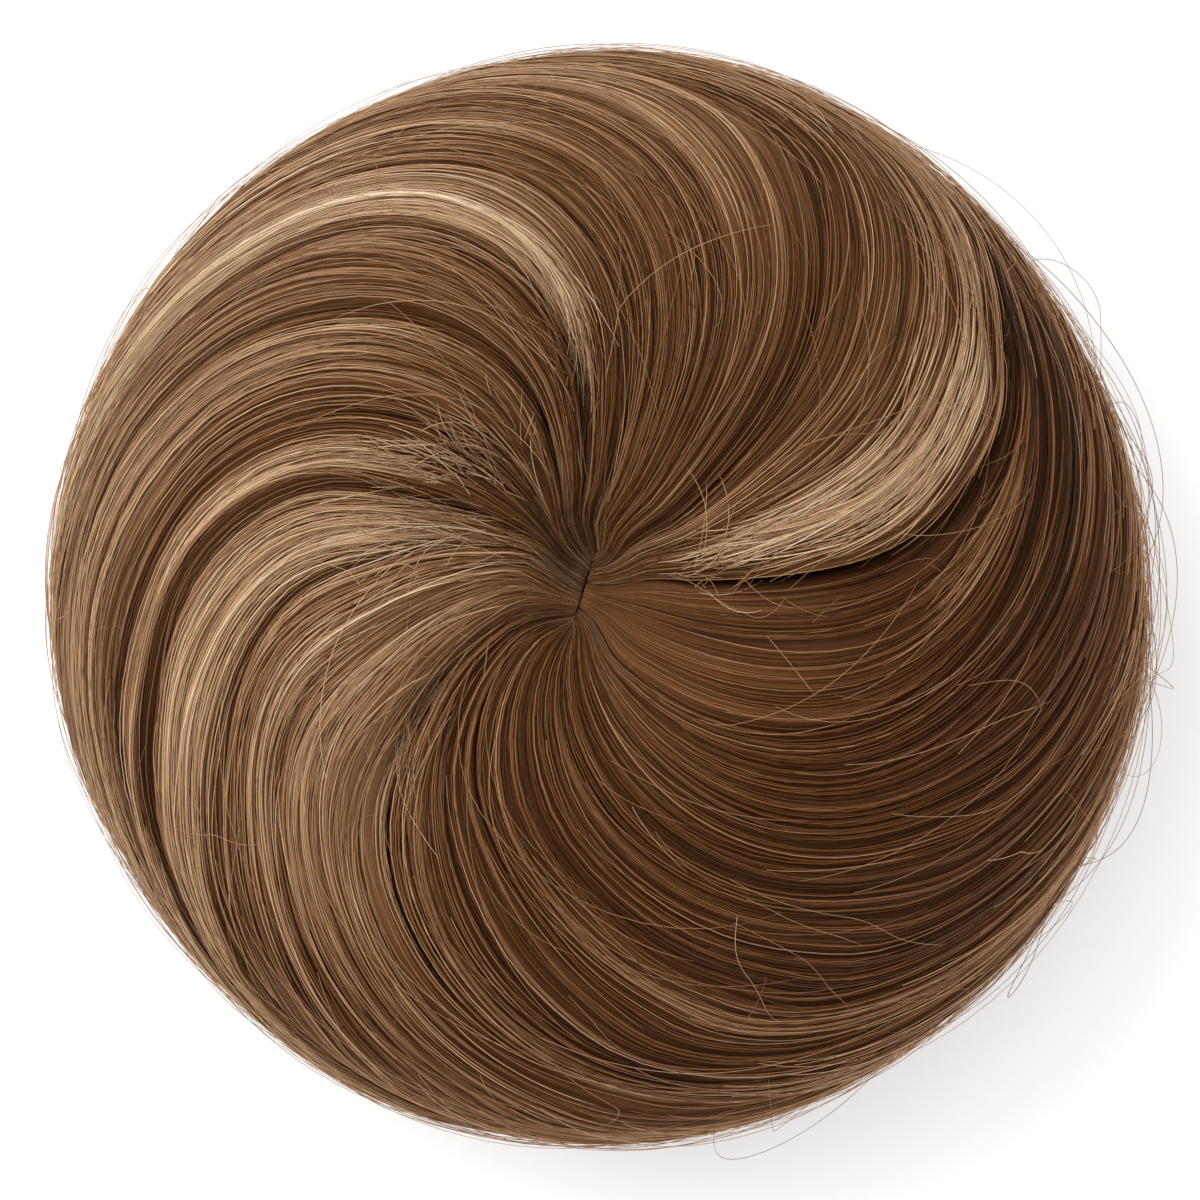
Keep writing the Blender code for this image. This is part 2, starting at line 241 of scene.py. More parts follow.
# The base cap
# A thin dome of dark brown foundation cloth, open at the mouth, which holds the hair. Wefts of hair
# are machine-sewn to it in rows, and their stitches show inside.
BUN_RADIUS = 55.0 * MILLIMETRE
BUN_HEIGHT = 55.0 * MILLIMETRE
PROFILE_COLUMNS = ("station", "outer_radius", "outer_height", "inner_radius", "inner_height")
PROFILE = (
    ("whorl", 0.045, 0.745, 0.045, 0.715),
    ("pit_wall", 0.078, 0.830, 0.090, 0.716),
    ("dimple", 0.155, 0.905, 0.165, 0.720),
    ("inner_crest", 0.290, 0.972, 0.280, 0.722),
    ("crest", 0.460, 1.000, 0.400, 0.710),
    ("shoulder", 0.680, 0.955, 0.520, 0.675),
    ("upper_side", 0.865, 0.820, 0.635, 0.600),
    ("side", 0.964, 0.655, 0.710, 0.490),
    ("widest", 1.000, 0.470, 0.740, 0.380),
    ("lower_side", 0.965, 0.280, 0.720, 0.275),
    ("turn_under", 0.860, 0.125, 0.665, 0.190),
    ("tuck", 0.715, 0.045, 0.610, 0.135),
    ("tuck_end", 0.580, 0.025, 0.565, 0.110),
)
SEAT_GAP = 0.8 * MILLIMETRE
CAP_WALL = 1.2 * MILLIMETRE
CAP_ROUNDS = 96
CAP_STATIONS = 44
WEFT_ROWS = 11
WEFT_HEIGHT = 0.35 * MILLIMETRE
WEFTS_END = 0.93
POLE = 0.02 * MILLIMETRE
CAP_CLOTH_DARK = (0.030, 0.018, 0.011, 1.0)
CAP_CLOTH_LIGHT = (0.105, 0.066, 0.042, 1.0)
STITCH_LENGTH = 1.5 * MILLIMETRE
STITCH_THICKNESS = 0.32 * MILLIMETRE
STITCH_SPACING = 2.6 * MILLIMETRE
STITCH_TILT = 0.25
STITCH_SEED = 7
STITCH_COLOUR = (0.15, 0.095, 0.06, 1.0)
FINE_STEPS = 600


def smooth_through(xs, ys, x):
    """The values at x of the smooth curve through the points (xs, ys)."""
    xs, ys, x = np.asarray(xs, float), np.asarray(ys, float), np.asarray(x, float)
    before = np.concatenate([[0], np.arange(len(xs) - 1)])
    after = np.concatenate([np.arange(1, len(xs)), [len(xs) - 1]])
    slopes = (ys[after] - ys[before]) / (xs[after] - xs[before])
    i = np.clip(np.searchsorted(xs, x) - 1, 0, len(xs) - 2)
    span = xs[i + 1] - xs[i]
    t = np.clip((x - xs[i]) / span, 0.0, 1.0)
    return (
        (2 * t**3 - 3 * t**2 + 1) * ys[i]
        + (t**3 - 2 * t**2 + t) * span * slopes[i]
        + (3 * t**2 - 2 * t**3) * ys[i + 1]
        + (t**3 - t**2) * span * slopes[i + 1]
    )


profile = {name: np.array([row[i] for row in PROFILE]) for i, name in enumerate(PROFILE_COLUMNS)}
outer_r, inner_r = profile["outer_radius"] * BUN_RADIUS, profile["inner_radius"] * BUN_RADIUS
outer_z, inner_z = profile["outer_height"] * BUN_HEIGHT, profile["inner_height"] * BUN_HEIGHT
skin_s = np.concatenate([[0.0], np.cumsum(np.hypot(np.diff(outer_r), np.diff(outer_z)))])
station_s = dict(zip(profile["station"], skin_s))
fine_s = np.linspace(0.0, skin_s[-1], FINE_STEPS)
fine_outer_r, fine_outer_z, fine_inner_r, fine_inner_z = (
    smooth_through(skin_s, column, fine_s) for column in (outer_r, outer_z, inner_r, inner_z)
)


def cap_line(distance):
    """The cap's profile this far inside the hair's seat, from near the top down to the mouth."""
    s = np.linspace(station_s["dimple"], skin_s[-1], CAP_STATIONS)
    run_r, run_z = np.gradient(fine_inner_r), np.gradient(fine_inner_z)
    run = np.hypot(run_r, run_z)
    inward_r = np.interp(s, fine_s, run_z / run)
    inward_z = np.interp(s, fine_s, -run_r / run)
    radius = np.interp(s, fine_s, fine_inner_r) + inward_r * distance
    height = np.interp(s, fine_s, fine_inner_z) + inward_z * distance
    return radius, np.maximum(height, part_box("base_cap")[0][2])


def cap_rings():
    """The cap's section, walked out along its outer wall and back along its ridged inner wall."""
    out_r, out_z = cap_line(SEAT_GAP)
    share = np.linspace(0.0, 1.0, CAP_STATIONS)
    in_r, in_z = cap_line(SEAT_GAP + CAP_WALL)
    ridge_r, ridge_z = cap_line(SEAT_GAP + CAP_WALL + WEFT_HEIGHT)
    ridge = np.clip(np.cos(FULL_TURN * WEFT_ROWS * share), 0.0, 1.0) ** 2 * (share < WEFTS_END)
    in_r, in_z = in_r + (ridge_r - in_r) * ridge, in_z + (ridge_z - in_z) * ridge
    radius = np.concatenate([[POLE], out_r, in_r[::-1], [POLE]])
    height = np.concatenate([[out_z[0]], out_z, in_z[::-1], [in_z[0]]])
    turn = np.linspace(0.0, FULL_TURN, CAP_ROUNDS, endpoint=False)[:, None]
    return np.stack([radius * np.cos(turn), radius * np.sin(turn), height + 0.0 * turn], axis=2)


def finish_tree(tree, geometry, material):
    """End a geometry tree with real geometry in this material."""
    real = added(tree, "GeometryNodeRealizeInstances", {"Geometry": geometry})
    made = added(tree, "GeometryNodeSetMaterial",
                 {"Geometry": real, "Material": material})
    added(tree, "NodeGroupOutput", {"Geometry": made})


def stitch_tree():
    """Stitches laid along each weft line, a little askew, all one length."""
    tree, entry = new_group(
        "weft_stitches", "GeometryNodeTree",
        {"Geometry": "Geometry", "Stitch Length": "Float", "Stitch Thickness": "Float",
         "Stitch Spacing": "Float", "Thread": "Material"},
        {"Geometry": "Geometry"},
    )
    curve = added(tree, "GeometryNodeMeshToCurve", {"Mesh": entry["Geometry"]})
    spots = added(tree, "GeometryNodeCurveToPoints",
                  {"Curve": curve, "Length": entry["Stitch Spacing"]}, mode="LENGTH")
    bead = added(tree, "GeometryNodeMeshUVSphere", {"Segments": 6, "Rings": 5, "Radius": 0.5})
    size = added(tree, "ShaderNodeCombineXYZ", {
        "X": entry["Stitch Thickness"], "Y": entry["Stitch Thickness"], "Z": entry["Stitch Length"],
    })
    shape = added(tree, "GeometryNodeTransform",
                  {"Geometry": bead, "Scale": size})
    place = added(tree, "GeometryNodeInstanceOnPoints", {
        "Points": spots.outputs["Points"], "Instance": shape,
        "Rotation": spots.outputs["Rotation"],
    })
    askew = added(tree, "FunctionNodeRandomValue", {
        "Min": (-STITCH_TILT, -STITCH_TILT, 0.0), "Max": (STITCH_TILT, STITCH_TILT, 0.0), "Seed": STITCH_SEED,
    }, data_type="FLOAT_VECTOR")
    tilt = added(tree, "GeometryNodeRotateInstances",
                 {"Instances": place, "Rotation": askew})
    finish_tree(tree, tilt, entry["Thread"])
    return tree


def grown(name, lines, tree, settings):
    """A plain mesh of what a node tree makes of these lines, with settings for its named inputs."""
    guide = placed(name + "_guide", lines)
    modifier = guide.modifiers.new(name, "NODES")
    modifier.node_group = tree
    for item in tree.interface.items_tree:
        if item.in_out == "INPUT" and item.name in settings:
            modifier[item.identifier] = settings[item.name]
    graph = bpy.context.evaluated_depsgraph_get()
    graph.update()
    mesh = bpy.data.meshes.new_from_object(guide.evaluated_get(graph), preserve_all_data_layers=True,
                                           depsgraph=graph)
    mesh.name = name
    bpy.data.objects.remove(guide)
    return placed(name, mesh)


def weft_lines():
    """One closed line on the crown of each weft, just proud of it."""
    line_r, line_z = cap_line(SEAT_GAP + CAP_WALL + WEFT_HEIGHT)
    steps = np.linspace(0.0, WEFT_ROWS, CAP_STATIONS)
    points, edges = [], []
    for row in range(1, WEFT_ROWS):
        radius, height = np.interp(row, steps, line_r), np.interp(row, steps, line_z)
        first = len(points)
        for i in range(CAP_ROUNDS):
            turn = FULL_TURN * i / CAP_ROUNDS
            points.append((radius * math.cos(turn), radius * math.sin(turn), height))
            edges.append((first + i, first + (i + 1) % CAP_ROUNDS))
    lines = bpy.data.meshes.new("weft_lines")
    lines.from_pydata(points, edges, [])
    return lines


cap_cloth = cloth_material("foundation_cloth", warp=420.0, weft=150.0, dark=CAP_CLOTH_DARK,
                           light=CAP_CLOTH_LIGHT, roughness=0.85, height=0.12 * MILLIMETRE)
foundation = closed_tube("foundation_cap", cap_rings(), True)
foundation.data.materials.append(cap_cloth)
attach(foundation, "root")
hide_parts("base_cap")

thread, thread_tree, thread_paint = new_material("sewing_thread", roughness=0.6)
thread_place = added(thread_tree, "ShaderNodeTexCoord").outputs["Object"]
thread_noise = added(thread_tree, "ShaderNodeTexNoise", {"Vector": thread_place, "Scale": 900.0})
thread_shade = ramp_of(thread_tree, thread_noise, (0.0, CAP_CLOTH_LIGHT), (1.0, STITCH_COLOUR))
feed(thread_tree, thread_paint, {"Base Color": thread_shade})
stitches = grown("weft_stitching", weft_lines(), stitch_tree(), {
    "Stitch Length": STITCH_LENGTH, "Stitch Thickness": STITCH_THICKNESS,
    "Stitch Spacing": STITCH_SPACING, "Thread": thread,
})
stitches.data.shade_smooth()
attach(stitches, "root")

# The swirl locks
# Thirteen thick locks of fine synthetic hair are sewn in at the whorl. Each runs over the crest, wraps
# round the rim and tucks under to the band. Under the strands a lock has a dense body of hair.
WHORL_PLACE = np.array([-1.6, 0.8, 0.0]) * MILLIMETRE
WHORL_SLIT = 1.4 * MILLIMETRE
WHORL_SLIT_ENDS = 1.7 * MILLIMETRE
WHORL_FILLING = 5.0 * MILLIMETRE
WHORL_SLIT_AZIMUTH = math.radians(73.0)
WHORL_REACH = 10.0 * MILLIMETRE
WHORL_CLOSING = 2.55 * MILLIMETRE
WHORL_CLOSING_REACH = 3.0 * MILLIMETRE
SEAT_SHIFT_RADIUS = 20.0 * MILLIMETRE
TABLE_RADII = (0.006, 0.010, 0.020, 0.030, 0.040, 0.045, 0.050, 0.053)
LOCK_COLUMNS = (
    "name", "azimuths", "lift", "clockwise_valley", "counter_valley", "groove", "strand_depth",
)
LOCKS = (
    ("lock_01", (8, 5, 5, 9, 20, 27, 38, 48), 1.2, 0.3, 2.0, 0.5, 0.8),
    ("lock_02", (42, 39, 43, 48, 56, 61, 68, 80), 0.2, 1.8, 2.0, 0.7, 0.7),
    ("lock_03", (86, 81, 81, 86, 97, 107, 124, 143), 0.0, 1.6, 2.6, 0.3, 0.9),
    ("lock_04", (96, 92, 93, 100, 114, 126, 147, 164), -0.2, 2.6, 1.6, 0.4, 0.9),
    ("lock_05", (109, 104, 106, 118, 136, 148, 166, 189), 0.1, 1.6, 2.0, 0.5, 1.0),
    ("lock_06", (123, 123, 131, 143, 161, 176, 196, 214), 0.0, 1.8, 2.0, 0.5, 1.0),
    ("lock_07", (136, 142, 152, 160, 177, 193, 208, 224), -0.3, 2.4, 2.4, 0.2, 0.8),
    ("lock_08", (147, 156, 171, 183, 205, 215, 226, 236), 0.5, 1.2, 2.0, 0.4, 0.45),
    ("lock_09", (197, 202, 215, 226, 244, 256, 272, 284), -0.2, 2.4, 1.2, 0.3, 1.0),
    ("lock_10", (215, 219, 235, 255, 272, 281, 297, 315), 0.1, 1.2, 1.3, 0.6, 1.2),
    ("lock_11", (255, 258, 273, 290, 309, 319, 336, 350), 0.0, 1.3, 1.2, 0.5, 1.2),
    ("lock_12", (281, 285, 298, 312, 331, 341, 357, 372), 0.0, 1.2, 1.1, 0.4, 1.2),
    ("lock_13", (296, 303, 319, 336, 360, 375, 392, 405), 0.1, 1.0, 3.2, 0.3, 1.1),
)
# Each lock's colour from 0, dark brown, to 1, pale blond, and warmth from -1, ashy, to 1, reddish
COLOUR_COLUMNS = ("by_whorl", "on_crest", "at_shoulder", "at_rim", "warmth", "spread", "slot")
# The tones are partly each lock's own colour and partly painted light and shade: higher on the locks to the
# upper left, where the key light falls, and lower on those to the lower right
LOCK_COLOURS_AND_PAINTED_LIGHT = (
    (0.49, 0.46, 0.42, 0.55, 0.05, 0.06, "hair_golden"),
    (0.45, 0.40, 0.56, 0.72, 0.05, 0.05, "hair_brown"),
    (0.45, 0.45, 0.72, 0.76, -0.05, 0.06, "hair_golden"),
    (0.44, 0.46, 0.66, 0.72, -0.20, 0.05, "hair_mauve"),
    (0.44, 0.48, 0.62, 0.70, -0.05, 0.06, "hair_brown"),
    (0.38, 0.44, 0.40, 0.52, 0.00, 0.06, "hair_brown"),
    (0.40, 0.52, 0.38, 0.50, 0.00, 0.08, "hair_golden"),
    (0.52, 0.66, 0.39, 0.68, 0.10, 0.06, "hair_brown"),
    (0.44, 0.42, 0.33, 0.62, -0.05, 0.06, "hair_mauve"),
    (0.44, 0.35, 0.31, 0.60, 0.10, 0.06, "hair_brown"),
    (0.44, 0.32, 0.34, 0.56, 0.10, 0.05, "hair_dark"),
    (0.47, 0.34, 0.29, 0.46, 0.15, 0.05, "hair_dark"),
    (0.52, 0.40, 0.28, 0.40, 0.35, 0.05, "hair_reddish"),
)
# Lighter and darker bands along a lock, and one of painted shade: middle and half width as shares of the
# lock, and where along the run
STREAK_COLUMNS = ("lock", "share", "half_width", "run_from", "run_to", "tint")
STREAKS_AND_PAINTED_SHADE = (
    (1, 0.38, 0.18, 0.09, 0.18, 0.30),
    (1, 0.24, 0.12, 0.17, 0.30, 0.26),
    (1, 0.12, 0.05, 0.26, 1.20, 0.34),
    (1, 0.28, 0.05, 0.28, 1.20, 0.26),
    (1, 0.47, 0.04, 0.24, 0.70, 0.26),
    (1, 0.66, 0.03, 0.20, 0.45, 0.16),
    (1, 0.90, 0.10, 0.08, 0.45, -0.08),
    (2, 0.46, 0.06, 0.12, 0.33, -0.10),
    (2, 0.36, 0.05, 0.26, 0.60, 0.18),
    (2, 0.84, 0.12, 0.34, 1.20, 0.18),
    (3, 0.75, 0.16, 0.16, 1.20, 0.32),
    (3, 0.30, 0.14, 0.20, 0.60, 0.18),
    (4, 0.26, 0.07, 0.22, 0.45, 0.16),
    (5, 0.40, 0.12, 0.19, 1.20, 0.24),
    (6, 0.70, 0.15, 0.15, 0.30, 0.34),
    (6, 0.35, 0.25, 0.30, 0.50, -0.08),
    (7, 0.55, 0.28, 0.10, 0.32, 0.26),
    (8, 0.65, 0.30, 0.14, 0.30, 0.08),
    (8, 0.45, 0.40, 0.27, 0.36, -0.12),
    (9, 0.38, 0.06, 0.12, 0.36, 0.16),
    (9, 0.06, 0.10, 0.07, 0.36, -0.16),
    (10, 0.30, 0.10, 0.19, 0.50, 0.14),
    (12, 0.40, 0.08, 0.36, 0.80, 0.14),
    (13, 0.55, 0.14, 0.20, 0.29, 0.20),
    # lock_13's dark band along its counter edge is painted shade, in the step where lock_01 stands over it
    (13, 0.92, 0.14, 0.10, 0.46, -0.16),
)
# Hair that begins on top of its lock with loose cut ends
FRAY_COLUMNS = ("lock", "share", "half_width", "radius", "radius_spread", "hairs", "tint", "reach")
FRAYS = (
    (1, 0.36, 0.16, 15, 3.5, 150, 0.88, 0.12),
    (1, 0.24, 0.14, 24, 5.0, 90, 0.84, 0.14),
    (1, 0.30, 0.40, 36, 6.0, 60, 0.72, 0.25),
    (2, 0.60, 0.30, 24, 8.0, 40, 0.55, 0.45),
    (3, 0.72, 0.20, 26, 4.0, 110, 0.78, 0.45),
    (4, 0.40, 0.30, 30, 6.0, 30, 0.60, 0.45),
    (5, 0.42, 0.20, 27, 5.0, 50, 0.66, 0.45),
    (6, 0.65, 0.20, 21, 4.0, 90, 0.78, 0.40),
    (7, 0.50, 0.40, 14, 4.5, 170, 0.76, 0.35),
    (8, 0.55, 0.45, 24, 9.0, 210, 0.66, 0.14),
    (9, 0.30, 0.25, 22, 5.0, 50, 0.58, 0.40),
    (10, 0.30, 0.20, 30, 6.0, 30, 0.58, 0.45),
    (13, 0.52, 0.13, 33, 2.5, 40, 0.66, 0.12),
)
# Hollows between the locks, where thin hair crosses over darkness, and with a depth below zero a
# bridge of hair over the gap between two locks: lengths in mm
HOLE_COLUMNS = ("swirl", "half_width", "radius", "half_length", "depth", "hairs", "tint")
HOLES = (
    (12.86, 0.16, 19, 11.0, -1.9, 14, 0.56),
    (0.08, 0.08, 11, 4.0, 1.0, 22, 0.80),
    (0.08, 0.10, 47, 9.0, 2.2, 10, 0.50),
    (2.90, 0.32, 20, 7.0, 3.2, 46, 0.66),
    (4.80, 0.30, 15, 5.0, 2.4, 44, 0.78),
    (5.35, 0.30, 17, 5.0, 2.4, 50, 0.82),
    (6.60, 0.40, 15, 5.0, 2.0, 70, 0.84),
    (7.96, 0.12, 20, 10.0, 2.8, 56, 0.64),
)
# Below the widest line the swirl turns on by these angles, and the locks grow more equal
LOWER_TURN = (30.0, 26.0, 18.0, 10.0, 4.0)
LOWER_STATIONS = ("widest", "lower_side", "turn_under", "tuck", "tuck_end")
WHORL_EVENING = 0.55
TUCK_EVENING = 0.60
# The rim isn't quite round: how far it is drawn in, in mm, every 30 degrees
RIM_DRAWN_IN = (0.0, 0.7, 0.5, 0.2, 0.5, 0.1, -0.2, 1.0, 0.6, 0.2, 0.3, 0.0)
# The valleys between the locks and the groove along each: their sharpness, and where they deepen
VALLEY_SHARPNESS = 3
GROOVE_SHARPNESS = 6
VALLEYS_FROM = 12.0 * MILLIMETRE
VALLEYS_OVER = 20.0 * MILLIMETRE
# How near the hair comes to its seat, as a share of a lock's thickness, and to the floor
DEEPEST_SHARE = 0.8
SEAT_SHARE = 0.9
LOWEST_HAIR = 0.3 * MILLIMETRE
# The smaller strands of a lock: they sway across it, draw its hairs in and differ in height and tone
RIB_WIDTH = 2.6 * MILLIMETRE
RIB_DEPTH = 0.32 * MILLIMETRE
FINE_RIB_WIDTH = 0.85 * MILLIMETRE
FINE_RIB_DEPTH = 0.11 * MILLIMETRE
RIB_SWAY = 0.45
RIB_SWAYS = (0.4, 0.9)
RIB_PULL = 0.45
RIB_UNEVENNESS = 0.45
# Where along the run they and their tones rise, and over how much of it
RIBS_RISE = (0.08, 0.12)
TONES_RISE = (0.04, 0.06)
STREAK_BEGINS_OVER = 0.05
STREAK_ENDS_OVER = 0.08
# The dense body of each lock
LOCK_GAP = 0.15 * MILLIMETRE
BODY_SUNK = 0.45 * MILLIMETRE
BODY_ROUNDS = 84
BODY_CROWDING = 1.15
BODY_OUTER_SHARES = np.linspace(0.0, 1.0, 25)
BODY_INNER_SHARES = np.linspace(1.0, 0.0, 5)
FIRST_SHARE = 0.0001
LAST_SHARE = 0.9999
BODY_EDGE = 0.99999
BODY_STREAKED = 0.45
BODY_RIB_TINT = 0.03
# Painted shade: the body is darker than the strands over it, and its inner side, towards the cap, is painted
# dark
BODY_PAINTED_SHADE = 0.12
BODY_INSIDE_SHADE = 0.2
# How many hairs lie on the locks, and their points; long ones run from whorl to tuck
LONG_HAIRS = 1210
LONG_POINTS = 56
SHORT_HAIRS = 1090
SHORT_POINTS = 26
FRAY_POINTS = 27
# Where they lie across the lock, where along the run they start and end, and how loose short ones are
LONG_SHARES = (0.01, 0.99)
LONG_STARTS = (0.0, 0.006)
LONG_ENDS = (0.94, 1.0)
SHORT_SHARES = (-0.04, 1.04)
SHORT_STARTS = (0.0, 0.75)
SHORT_START_CROWDING = 1.3
SHORT_REACHES = (0.2, 0.45)
SHORT_FRAY = 0.15
FRAY_SHARES = (0.02, 0.98)
FRAY_SPREAD = 0.6
FRAY_REACHES = (0.6, 1.5)
FRAY_INNERMOST = 5.0 * MILLIMETRE
HAIR_CROWDING = 1.1
EDGE_SHARE = 0.004
PAST_EDGE = 0.15
FRAY_PAST_EDGE = 0.4
# How deep they lie, and how far they wander aside and up and down; those astray wander most
LAYER_DEPTH = 0.40 * MILLIMETRE
LAYER_CROWDING = 1.4
ASTRAY_SPREAD = 0.55
MOST_ASTRAY = 3.0
ASTRAY_LIFT = 0.10
WANDER_RATES = (0.7, 1.3)
ASIDE_WAVES = (0.5, 1.6, 3.0)
ASIDE_REACH = 0.13 * MILLIMETRE
DEEP_WAVES = (1.3,)
DEEP_REACH = 0.05 * MILLIMETRE
TUCK_START = 0.93
# Cut ends stand off over this length, this far aside and up, and are mostly their tuft's tint
FRAY_LENGTH = 7.0 * MILLIMETRE
FRAY_ASIDE = 0.9 * MILLIMETRE
FRAY_LIFT = 0.4 * MILLIMETRE
FRAY_TINT_SHARE = 0.75
# Hairs differ in tint: some miss the lighter and darker bands, some are darker or paler, and deep ones are
# darker as painted shade under the hairs above them
PLAIN_SHARE, LEAST_STREAKED, MOST_STREAKED = 0.45, 0.15, 1.35
DARKER_SHARE, DARKER = 0.14, 0.13
PALER_SHARE, PALER = 0.09, 0.11
WHORL_CONTRAST_REACH = 0.06
RIB_TINT = 0.05
LAYER_PAINTED_SHADE = 0.12
WARMTH_SPREAD = 0.15
# Hairs are thinner by the whorl and taper to their ends
HAIR_THICKNESS = 0.125 * MILLIMETRE
THICKNESS_RANGE = (0.75, 1.25)
END_TAPER, THIN_END = 8.0, 0.3
THIN_BY_WHORL, THICK_FROM = 0.45, 0.10
SWIRL_SEED = 20
SEED_STEP = 31


def named_rows(columns, table):
    """The table's rows, each with its values under the columns' names."""
    return [dict(zip(columns, row)) for row in table]


locks = named_rows(LOCK_COLUMNS, LOCKS)
for lock, row in zip(locks, LOCK_COLOURS_AND_PAINTED_LIGHT):
    lock.update(zip(COLOUR_COLUMNS, row))
streaks_and_shade = named_rows(STREAK_COLUMNS, STREAKS_AND_PAINTED_SHADE)
frays = named_rows(FRAY_COLUMNS, FRAYS)
holes = named_rows(HOLE_COLUMNS, HOLES)


def evened(azimuths, share):
    """The azimuths drawn towards equal steps round the same mean."""
    even = 360.0 * np.arange(len(azimuths)) / (len(azimuths) - 1)
    offset = (azimuths[:-1] - even[:-1]).mean()
    return azimuths * (1.0 - share) + (even + offset) * share


def boundary_lines():
    """The azimuth of each line between the locks, in radians, at every fine step of the skin."""
    starts = np.array([lock["azimuths"] for lock in locks], float)
    starts = np.vstack([starts, starts[0] + 360.0])
    upper = fine_s <= station_s["widest"]
    line_s = [0.0] + [float(np.interp(radius, fine_outer_r[upper], fine_s[upper]))
                      for radius in TABLE_RADII]
    columns = [evened(starts[:, 0], WHORL_EVENING)] + list(starts.T)
    rim, further = columns[-1], 0.0
    for turn, station in zip(LOWER_TURN, LOWER_STATIONS):
        further += turn
        line_s.append(station_s[station])
        columns.append(evened(rim, TUCK_EVENING * further / sum(LOWER_TURN)) + further)
    table = np.array(columns)
    return np.radians([smooth_through(line_s, table[:, k], fine_s) for k in range(len(locks) + 1)])


swirl_lines = boundary_lines()
swirl_turn = swirl_lines[:-1].mean(axis=0)
run_steps = np.hypot(np.diff(fine_s), fine_outer_r[1:] * np.diff(swirl_turn))
run_lengths = np.concatenate([[0.0], np.cumsum(run_steps)])
RUN_LENGTH = float(run_lengths[-1])
along_skin = np.gradient(fine_s) / np.hypot(np.gradient(fine_s), fine_outer_r * np.gradient(swirl_turn))


def skin_at_run(run):
    """The length along the skin at this share of a hair's whole run, whorl 0 and tuck 1."""
    return np.interp(run * RUN_LENGTH, run_lengths, fine_s)


def run_at_skin(s):
    """The share of a hair's run at this length along the skin."""
    return np.interp(s, fine_s, run_lengths) / RUN_LENGTH


def run_at_radius(radius):
    """The share of a hair's run at which it passes this radius on the upper side."""
    upper = fine_s <= station_s["widest"]
    return np.interp(radius, fine_outer_r[upper], run_lengths[upper]) / RUN_LENGTH


def lock_width(k):
    """A lock's width square to its hair, in metres, at every fine step of the skin."""
    return (swirl_lines[k + 1] - swirl_lines[k]) * fine_outer_r * along_skin


# The last place along the fine steps that still has a step after it
LAST_FINE_PLACE = FINE_STEPS - 1.001


def swirl_azimuth(swirl, s):
    """The azimuth of the place that is this many locks round, counted from lock_01's start."""
    k = np.floor(swirl).astype(int)
    share = swirl - k
    laps = k // len(locks)
    k = k % len(locks)
    step = np.clip(s / fine_s[1], 0.0, LAST_FINE_PLACE)
    i = step.astype(int)
    part = step - i
    first = swirl_lines[k, i] * (1 - part) + swirl_lines[k, i + 1] * part
    last = swirl_lines[k + 1, i] * (1 - part) + swirl_lines[k + 1, i + 1] * part
    return first + (last - first) * share + laps * FULL_TURN


def ramp_up(value, start, width):
    """From 0 to 1 smoothly, over a width centred on the start."""
    t = np.clip((value - start) / width + 0.5, 0.0, 1.0)
    return t * t * (3.0 - 2.0 * t)


def surface_depth(swirl, s):
    """How far the hair's surface lies below the skin: valleys, grooves, hollows and the rim's flats."""
    k = np.floor(swirl).astype(int) % len(locks)
    share = swirl - np.floor(swirl)
    lock = {key: np.array([row[key] for row in locks])[k]
            for key in ("lift", "clockwise_valley", "counter_valley", "groove")}
    valley = np.where(share < 0.5, lock["clockwise_valley"], lock["counter_valley"])
    edge = np.abs(2.0 * share - 1.0) ** VALLEY_SHARPNESS
    middle = np.cos(np.pi * (share - 0.5)) ** GROOVE_SHARPNESS
    rim = np.clip((s - station_s["shoulder"]) / (station_s["widest"] - station_s["shoulder"]), 0.0, 1.0)
    depth = valley * edge + lock["groove"] * middle - lock["lift"] * (1.0 - rim) * (1.0 - edge)
    depth = depth * ramp_up(s, VALLEYS_FROM, VALLEYS_OVER)
    azimuth = np.degrees(swirl_azimuth(swirl, s)) % 360.0
    closed = RIM_DRAWN_IN + RIM_DRAWN_IN[:1]
    depth = depth + rim * np.interp(azimuth, np.linspace(0.0, 360.0, len(closed)), closed)
    run = run_at_skin(s)
    for hole in holes:
        aside = (swirl - hole["swirl"] + len(locks) / 2) % len(locks) - len(locks) / 2
        ahead = (run - run_at_radius(hole["radius"] * MILLIMETRE)) * RUN_LENGTH
        near = (aside / hole["half_width"]) ** 2 + (ahead / (hole["half_length"] * MILLIMETRE)) ** 2
        depth = depth + hole["depth"] * np.exp(-near)
    return depth * MILLIMETRE


